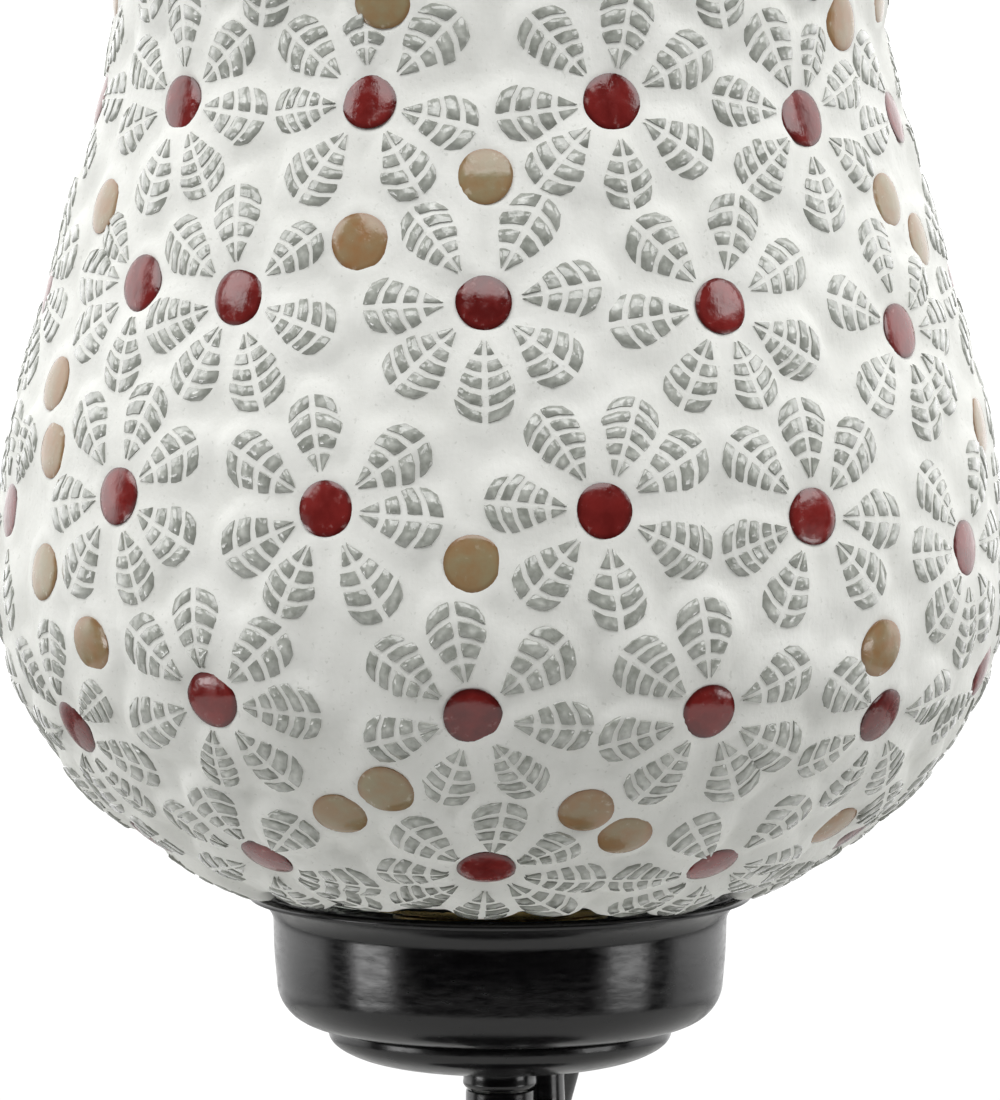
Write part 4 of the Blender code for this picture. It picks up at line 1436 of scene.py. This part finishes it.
AMBERS = ((60, 127), (-2, 107), (-65, 101), (63, 102), (-18, 98), (71, 96), (-66, 76), (-63, 67),
          (77, 69), (-3, 55), (-62, 50), (-52, 41), (47, 41), (-21, 19), (-14, 23, 230),
          (11, 20), (17, 16, 300), (56, 14),
          (103, 103), (135, 104), (-134, 103), (-100, 102), (134, 76), (-164, 75), (-117, 76),
          (106, 48), (162, 49), (-134, 48), (118, 20), (-160, 21), (-98, 22), (-17, 131),
          (143, 130), (-152, 130), (-84, 131), (78, 130), (14, 154), (-118, 154), (111, 154))


@dataclass
class Shade:
    """The shade: blown glass bowl, plaster and mosaic, which lift off together."""

    glass_gap: float = 2.8
    glass_wall: float = 2.5
    neck_radius: float = 29.5
    neck_foot: float = -15.2
    lip_height: float = 168.0

    def build(self) -> None:
        """Make every piece of the shade."""
        form = ShadeForm()
        self.bowl(form)
        mosaic = Mosaic(form, ROWS, AMBERS)
        mosaic.lay_out()
        PlasterCoat(form, mosaic).build()
        mosaic.build()

    def bowl(self, form: ShadeForm) -> None:
        """Make the plain glass bowl with its neck and its ground lip."""
        line = form.outline()
        front = inset(line, self.glass_gap)[::2]
        back = inset(line, self.glass_gap + self.glass_wall)[::2]
        bore = self.neck_radius - self.glass_wall
        lip = self.lip_height
        outer, inner = front[-1][0], back[-1][0]
        profile = rounded([(bore, self.neck_foot, 0.9), (self.neck_radius, self.neck_foot, 0.9),
                           (self.neck_radius, 0.0, 0.0)])
        profile += [(self.neck_radius + 0.7, 1.2), *front[:-1]]
        profile += rounded([(outer, lip - 3.0, 0.0), (outer, lip, 1.1), (inner, lip, 1.1),
                            (inner, lip - 3.0, 0.0)])
        profile += [*back[-2:3:-1], (bore + 1.4, 3.2), (bore + 0.3, 1.7), (bore, 0.5)]
        piece = lathe("glass_bowl", in_metres(profile), 160, form.rim_z * MM, 50.0)
        finish_piece(piece, Body.SHADE, BOWL_GLASS, "shade_glass")


def in_metres(outline: Outline) -> Outline:
    """Return an outline given in millimetres in metres."""
    return [(radius * MM, height * MM) for radius, height in outline]


@dataclass
class Turned:
    """One turned piece: a rounded outline in millimetres, its body, finish and CAD node."""

    name: str
    node: str
    corners: Sequence[tuple[float, float, float]]
    finish: Finish
    body: Body = Body.STAND
    lift: float = 0.0
    segments: int = 144

    def build(self) -> bpy.types.Object:
        """Turn and dress the piece."""
        outline = in_metres(rounded(self.corners))
        piece = lathe(self.name, outline, self.segments, self.lift * MM)
        finish_piece(piece, self.body, self.finish, self.node)
        return piece


@dataclass
class Cup:
    """The dish under the cup and the cup that the shade's neck stands in."""

    rim_z: float = 172.0
    depth: float = 19.2
    wall: float = 1.0
    radius: float = 32.5
    neck_radius: float = 33.0
    corner: float = 6.2
    flange_radius: float = 36.6
    flange_height: float = 4.3
    barrel: float = 0.12
    dish_height: float = 5.6
    dish_side: tuple = ((13.0, 0.0, 3.5), (18.0, 0.4, 2.0), (21.5, 1.3, 1.6), (24.0, 2.6, 1.2),
                        (25.0, 3.8, 0.8), (25.1, 5.6, 0.45))
    bore: float = 4.3

    def build(self) -> None:
        """Make the dish and the cup, and dress what is inside them."""
        foot = -self.depth - 0.3 - self.dish_height
        side = [(radius, foot + height, soft) for radius, height, soft in self.dish_side]
        lining = [(radius - 0.85, foot + height + 0.95, soft * 0.8)
                  for radius, height, soft in self.dish_side[-2::-1]]
        Turned("pressed_dish", "cup_dish",
               [(self.bore, foot, 0.0), *side, (24.1, foot + self.dish_height, 0.4),
                *lining, (self.bore, foot + 1.0, 0.0)],
               BLACK_COAT, lift=self.rim_z, segments=192).build()
        self.spun_cup()
        dress_node("shade_gasket", RUBBER)
        for node in ("cup_washer", "cup_lock_nut"):
            dress_node(node, PLATED)

    def spun_cup(self) -> None:
        """Make the spun cup, whose flange is rolled to a fine bead."""
        flat = self.radius - self.corner
        outside = [(self.bore, -self.depth), (flat - 2.0, -self.depth)]
        for angle in np.linspace(-90.0, 0.0, 14):
            turn = math.radians(angle)
            outside.append((flat + self.corner * math.cos(turn),
                            self.corner - self.depth + self.corner * math.sin(turn)))
        for part in np.linspace(0.1, 1.0, 8):
            barrel = self.barrel * math.sin(math.pi * part)
            outside.append((self.radius + (self.neck_radius - self.radius) * part + barrel,
                            self.corner - self.depth
                            + (self.depth - self.corner - self.flange_height) * part))
        for part in np.linspace(0.12, 0.9, 9):
            outside.append((self.neck_radius + (self.flange_radius - self.neck_radius)
                            * part ** 2, -self.flange_height * (1 - part)))
        inside = inset(outside, self.wall)
        bead = [(self.flange_radius - 0.05, -0.75), (self.flange_radius + 0.15, -0.35),
                (self.flange_radius + 0.05, 0.05), (self.flange_radius - 0.35, 0.25),
                (self.flange_radius - 0.9, 0.15), (self.flange_radius - 1.2, -0.15)]
        profile = in_metres(outside + bead + inside[::-1])
        piece = lathe("spun_cup", profile, 192, self.rim_z * MM, 50.0)
        finish_piece(piece, Body.STAND, BLACK_COAT, "gallery_cup")


@dataclass
class Stem:
    """The tube and collars between foot and cup, and the two slim stalks beside them."""

    low: float = 22.3
    high: float = 146.6
    tube_radius: float = 5.0
    bore: float = 4.3
    stalk_radius: float = 3.5
    stalks: tuple = (("right_stalk", "side_stalk_right", (5.9, 6.7), (23.0, 8.0), 0.0, 0.0),
                     ("left_stalk", "side_stalk_left", (8.8, 14.0), (-22.0, 14.0), -0.26, 1.05))

    def build(self) -> None:
        """Make the tube, its collars and the stalks, and dress the rod inside."""
        Turned("stem_sleeve", "stem_tube", [
            (self.bore, self.low + 6.3, 0.2), (self.tube_radius, self.low + 6.3, 0.3),
            (self.tube_radius, self.high - 3.9, 0.3), (self.bore, self.high - 3.9, 0.2)],
            BLACK_COAT, segments=72).build()
        top = self.high
        Turned("upper_collar", "stem_top_collar", [
            (self.bore, top - 3.6, 0.0), (5.0, top - 3.6, 0.2), (5.45, top - 3.0, 0.35),
            (5.3, top - 1.8, 0.6), (5.45, top - 0.6, 0.35), (5.0, top, 0.2),
            (self.bore, top, 0.0)], BLACK_COAT, segments=96).build()
        Turned("lower_collar", "foot_collar", [
            (self.bore, self.low, 0.0), (9.5, self.low, 0.4), (9.5, self.low + 1.6, 0.6),
            (7.6, self.low + 2.6, 0.6), (7.1, self.low + 3.9, 0.6), (6.6, self.low + 6.0, 0.5),
            (self.bore, self.low + 6.0, 0.0)], BLACK_COAT, segments=120).build()
        for stalk in self.stalks:
            self.stalk(*stalk)
        dress_node("threaded_rod", PLATED)

    def stalk(self, name: str, node: str, top: tuple[float, float], foot: tuple[float, float],
              lean: float, drop: float) -> None:
        """Make one stalk with a slightly spread foot.

        Args:
            name: the piece's name.
            node: the CAD node that it replaces.
            top: x and y of its upper end.
            foot: x and y of its foot.
            lean: its slope at the top.
            drop: how far under the cup's collar it ends.
        """
        high, low = self.high - drop, self.low
        points, radii = [], []
        for t in np.linspace(0.0, 1.0, 72):
            ease = t * t * (3 - 2 * t)
            swing = lean * (high - low) * t * (1 - t) ** 2
            points.append(tuple(MM * part for part in (
                top[0] + (foot[0] - top[0]) * ease + swing,
                top[1] + (foot[1] - top[1]) * ease, high - (high - low) * t)))
            from_foot = (1 - t) * (high - low)
            radii.append(MM * (self.stalk_radius + 1.1 * math.exp(-from_foot / 1.6)))
        finish_piece(swept_tube(name, points, radii), Body.STAND, BLACK_COAT, node)


@dataclass
class Foot:
    """The weighted foot: spun cover over an iron weight, on felt."""

    radius: float = 60.0
    flat_radius: float = 30.0
    top: float = 22.0
    skirt_top: float = 12.5
    shoulder: float = 6.0
    wall: float = 1.0
    rim_z: float = 1.2
    bore: float = 4.3
    grommet_z: float = 6.9
    grommet_hole: float = 4.4

    def build(self) -> None:
        """Make the cover and dress what it holds."""
        centre = self.radius - self.shoulder
        outside = [(self.radius, self.rim_z + 0.4), (self.radius, self.skirt_top - 2.0)]
        for angle in np.linspace(0.0, 60.0, 12):
            turn = math.radians(angle)
            outside.append((centre + self.shoulder * math.cos(turn),
                            self.skirt_top + self.shoulder * math.sin(turn)))
        edge_radius, edge_height = outside[-1]
        for part in np.linspace(0.06, 1.0, 26):
            rise = (1 - math.cos(math.pi * part)) / 2
            outside.append((edge_radius + (self.flat_radius - edge_radius) * part,
                            edge_height + (self.top - edge_height) * rise))
        outside += [(20.0, self.top), (10.0, self.top), (self.bore, self.top)]
        inside = inset(outside, self.wall)
        profile = [(self.radius - 0.3, self.rim_z), *outside, *inside[::-1],
                   (self.radius - 0.75, self.rim_z)]
        cover = lathe("foot_cover", in_metres(profile), 192, 0.0, 50.0)
        self.drill(cover)
        finish_piece(cover, Body.STAND, BLACK_COAT, "base_cover")
        dress_node("ballast_weight", IRON)
        dress_node("felt_pad", FELT)
        dress_node("cord_grommet", RUBBER)
        for node in ("foot_washer", "foot_nut"):
            dress_node(node, PLATED)

    def drill(self, cover: bpy.types.Object) -> None:
        """Cut the hole that the cord's grommet sits in."""
        bpy.ops.mesh.primitive_cylinder_add(
            vertices=48, radius=self.grommet_hole * MM, depth=12 * MM,
            location=(0.0, self.radius * MM, self.grommet_z * MM),
            rotation=(math.radians(90), 0.0, 0.0))
        drill = bpy.context.object
        cut = cover.modifiers.new("cord_hole", "BOOLEAN")
        cut.operation, cut.solver, cut.object = "DIFFERENCE", "EXACT", drill
        with bpy.context.temp_override(object=cover, active_object=cover,
                                       selected_objects=[cover]):
            bpy.ops.object.modifier_apply(modifier=cut.name)
        bpy.data.objects.remove(drill)


@dataclass
class Holder:
    """The bayonet lampholder on the rod."""

    rim_z: float = 172.0

    def build(self) -> None:
        """Make the shell's ring and cap, and dress the slotted shell and its contacts."""
        Turned("holder_cup", "holder_cap", [
            (4.3, -13.3, 0.0), (15.5, -13.3, 4.5), (15.5, -1.0, 0.4), (14.3, -1.0, 0.4),
            (14.3, -12.1, 3.4), (4.3, -12.1, 0.0)], BRASS, lift=self.rim_z).build()
        Turned("holder_shade_ring", "holder_ring", [
            (14.3, 0.2, 0.2), (19.0, 0.2, 0.3), (19.0, 1.8, 0.4), (16.4, 2.4, 0.4),
            (16.4, 6.0, 0.4), (14.3, 6.0, 0.2)], BRASS, lift=self.rim_z).build()
        dress_node("holder_shell", BRASS)
        dress_node("holder_insulator", PORCELAIN)
        for side in ("front", "rear"):
            dress_node(f"terminal_screw_{side}", BRASS)
            dress_node(f"contact_plunger_{side}", BRASS)
            dress_node(f"plunger_spring_{side}", PLATED)


@dataclass
class Bulb:
    """A small round pearl bulb with a bayonet cap."""

    rim_z: float = 172.0
    radius: float = 22.5
    centre: float = 63.5
    glass_wall: float = 0.8
    neck_radius: float = 10.2
    cap_low: float = 9.0
    cap_top: float = 34.0

    def build(self) -> None:
        """Make the globe and the cap, and dress the small parts."""
        self.globe()
        Turned("bulb_shell", "bulb_cap", [
            (8.6, self.cap_low, 0.1), (10.6, self.cap_low, 0.5), (11.0, self.cap_low + 1.0, 0.4),
            (11.0, self.cap_top - 2.0, 0.6), (11.3, self.cap_top, 0.1),
            (10.8, self.cap_top, 0.1), (10.5, self.cap_top - 2.0, 0.6),
            (10.5, self.cap_low + 1.3, 0.2), (8.6, self.cap_low + 1.3, 0.1)], BRASS,
            Body.BULB, self.rim_z).build()
        for side in ("left", "right"):
            dress_node(f"bayonet_pin_{side}", BRASS)
        dress_node("bulb_insulator", VITRITE)
        for side in ("front", "rear"):
            dress_node(f"bulb_contact_{side}", SOLDER)
        dress_node("bulb_mount", MOUNT_GLASS)
        dress_node("bulb_filament", FILAMENT)

    def globe(self) -> None:
        """Blow the globe: a ball drawn in to a neck."""
        neck = [(self.neck_radius, self.cap_top - 8.0), (self.neck_radius, self.cap_top + 1.0)]
        join = math.asin((self.neck_radius + 2.0) / self.radius)
        start = (self.radius * math.sin(join), self.centre - self.radius * math.cos(join))
        for t in np.linspace(0.1, 0.9, 8):
            bend = t * t
            neck.append((self.neck_radius + (start[0] - self.neck_radius) * bend,
                         neck[1][1] + (start[1] - neck[1][1]) * t))
        ball = [(self.radius * math.sin(a), self.centre - self.radius * math.cos(a))
                for a in np.linspace(join, math.pi, 36)[:-1]]
        outside = neck + ball
        inside = inset(outside, self.glass_wall)
        profile = outside + [(0.0, self.centre + self.radius),
                             (0.0, self.centre + self.radius - self.glass_wall)] + inside[::-1]
        piece = lathe("pearl_globe", in_metres(profile), 96, self.rim_z * MM, 50.0)
        finish_piece(piece, Body.BULB, PEARL_GLASS, "bulb_glass")


# ---- studio ------------------------------------------------------------------------------------
@dataclass(frozen=True)
class Softbox:
    """A rectangular light that faces the lamp.

    Attributes:
        name: its name.
        place: its middle; of a pair of lights, the right one's.
        size: its width and height in metres.
        power: its power in watts.
    """

    name: str
    place: tuple[float, float, float]
    size: tuple[float, float]
    power: float

    def hang(self, aim: Vector, side: int = 1, level: float = 1.0, ending: str = "") -> None:
        """Hang the light.

        Args:
            aim: what it faces.
            side: -1 to hang it on the left instead.
            level: scale of its power.
            ending: added to its name.
        """
        data = bpy.data.lights.new(self.name + ending, "AREA")
        data.shape = "RECTANGLE"
        data.size, data.size_y = self.size
        data.energy = self.power * level
        light = bpy.data.objects.new(self.name + ending, data)
        light.location = place = Vector((side * self.place[0], *self.place[1:]))
        light.rotation_euler = (aim - place).to_track_quat("-Z", "Y").to_euler()
        bpy.context.scene.collection.objects.link(light)


@dataclass
class Studio:
    """Pale floor, soft lights and the camera.

    Attributes:
        pairs: the lights at both sides, each with its level on the left and on the right.
    """

    floor_radius: float = 0.42
    aim_height: float = 0.2217
    distance: float = 1.2
    elevation: float = 5.7
    lens: float = 270.8
    ambient_front: float = 0.02
    ambient_side: float = 2.1
    ambient_back: float = 1.5
    side_band: tuple[float, float] = (0.06, 0.24)
    back_band: tuple[float, float] = (0.3, 1.0)
    under_band: tuple[float, float] = (-0.42, -0.04)
    ambient_under: float = 0.05
    floor_colour: Colour = (0.55, 0.55, 0.54)
    pairs: tuple = ((Softbox("softbox", (1.05, -0.42, 0.02), (0.62, 0.46), 0.45), 1.0, 0.75),
                    (Softbox("softbox_core", (1.03, -0.41, -0.08), (0.42, 0.18), 1.3),
                     1.0, 0.75),
                    (Softbox("softbox_high", (1.0, -0.30, 0.85), (0.6, 0.6), 4.3), 1.0, 1.0))
    overhead: Softbox = Softbox("overhead_softbox", (0.0, -0.75, 1.25), (1.3, 0.9), 14.0)

    def build(self) -> None:
        """Make the floor, the surroundings, the lights and the camera."""
        self.floor()
        self.surroundings()
        aim = Vector((0.0, 0.0, self.aim_height))
        for number, (side, ending) in enumerate(((-1, "_left"), (1, "_right"))):
            for box, *levels in self.pairs:
                box.hang(aim, side, levels[number], ending)
        self.overhead.hang(aim)
        self.camera(aim)

    def floor(self) -> None:
        """Lay a round pale floor."""
        steps = 96
        turn = np.linspace(0, 2 * math.pi, steps, endpoint=False)
        points = [np.zeros((1, 3))]
        for radius in (self.floor_radius * 0.5, self.floor_radius):
            points.append(np.column_stack([radius * np.cos(turn), radius * np.sin(turn),
                                           np.zeros(steps)]))
        faces = []
        for i in range(steps):
            j = (i + 1) % steps
            faces += [(0, 1 + i, 1 + j), (1 + i, 1 + steps + i, 1 + steps + j, 1 + j)]
        floor = make_mesh("floor", np.vstack(points), faces)
        paint = bpy.data.materials.new("pale_floor")
        paint.use_nodes = True
        bench = Bench(paint.node_tree)
        grain = bench.mottle(Size=2.0, Detail=4.0)
        rough = bench.uneven(grain, 0.7, 0.9)
        shader = paint.node_tree.nodes["Principled BSDF"]
        shader.inputs["Base Color"].default_value = as_rgba(self.floor_colour)
        bench.join(shader, Roughness=rough)
        floor.data.materials.append(paint)

    def surroundings(self) -> None:
        """Seen straight, the surroundings are white; they light the lamp mostly from behind."""
        world = bpy.data.worlds.new("studio")
        bpy.context.scene.world = world
        world.use_nodes = True
        bench = Bench(world.node_tree)
        world.node_tree.nodes.clear()
        way = bench.add("ShaderNodeTexCoord").outputs["Generated"]
        split = bench.add("ShaderNodeSeparateXYZ", {0: way})
        depth, rise = split.outputs["Y"], split.outputs["Z"]
        light = bench.spread(depth, *self.side_band, self.ambient_front, self.ambient_side)
        fading = bench.spread(depth, *self.back_band, 1.0,
                              self.ambient_back / self.ambient_side)
        light = bench.math("MULTIPLY", light, fading)
        lifted = bench.spread(rise, *self.under_band, self.ambient_under, 1.0)
        light = bench.math("MULTIPLY", light, lifted)
        seen = bench.add("ShaderNodeLightPath").outputs["Is Camera Ray"]
        strength = bench.math("MAXIMUM", light, seen)
        glow = bench.add("ShaderNodeBackground", {"Color": (1.0, 1.0, 1.0, 1.0),
                                                  "Strength": strength})
        out = bench.add("ShaderNodeOutputWorld")
        bench.tree.links.new(glow.outputs[0], out.inputs[0])

    def camera(self, aim: Vector) -> None:
        """Set the camera up level with the lamp and look slightly down on it."""
        data = bpy.data.cameras.new("camera")
        data.lens = self.lens
        data.clip_start, data.clip_end = 0.05, 50.0
        tilt = math.radians(self.elevation)
        place = aim + self.distance * Vector((0.0, -math.cos(tilt), math.sin(tilt)))
        camera = bpy.data.objects.new("camera", data)
        camera.location = place
        camera.rotation_euler = (aim - place).to_track_quat("-Z", "Y").to_euler()
        bpy.context.scene.collection.objects.link(camera)
        bpy.context.scene.camera = camera
        bpy.context.scene.view_settings.view_transform = "Standard"


def main() -> None:
    """Build the lamp from the foot up, then the studio round it."""
    logging.basicConfig(level=logging.INFO, format="%(name)s: %(message)s")
    for assembly in (Foot(), Stem(), Cup(), Holder(), Bulb(), Shade()):
        LOG.info("building %s", type(assembly).__name__)
        assembly.build()
    Studio().build()


if __name__ == "__main__":
    main()
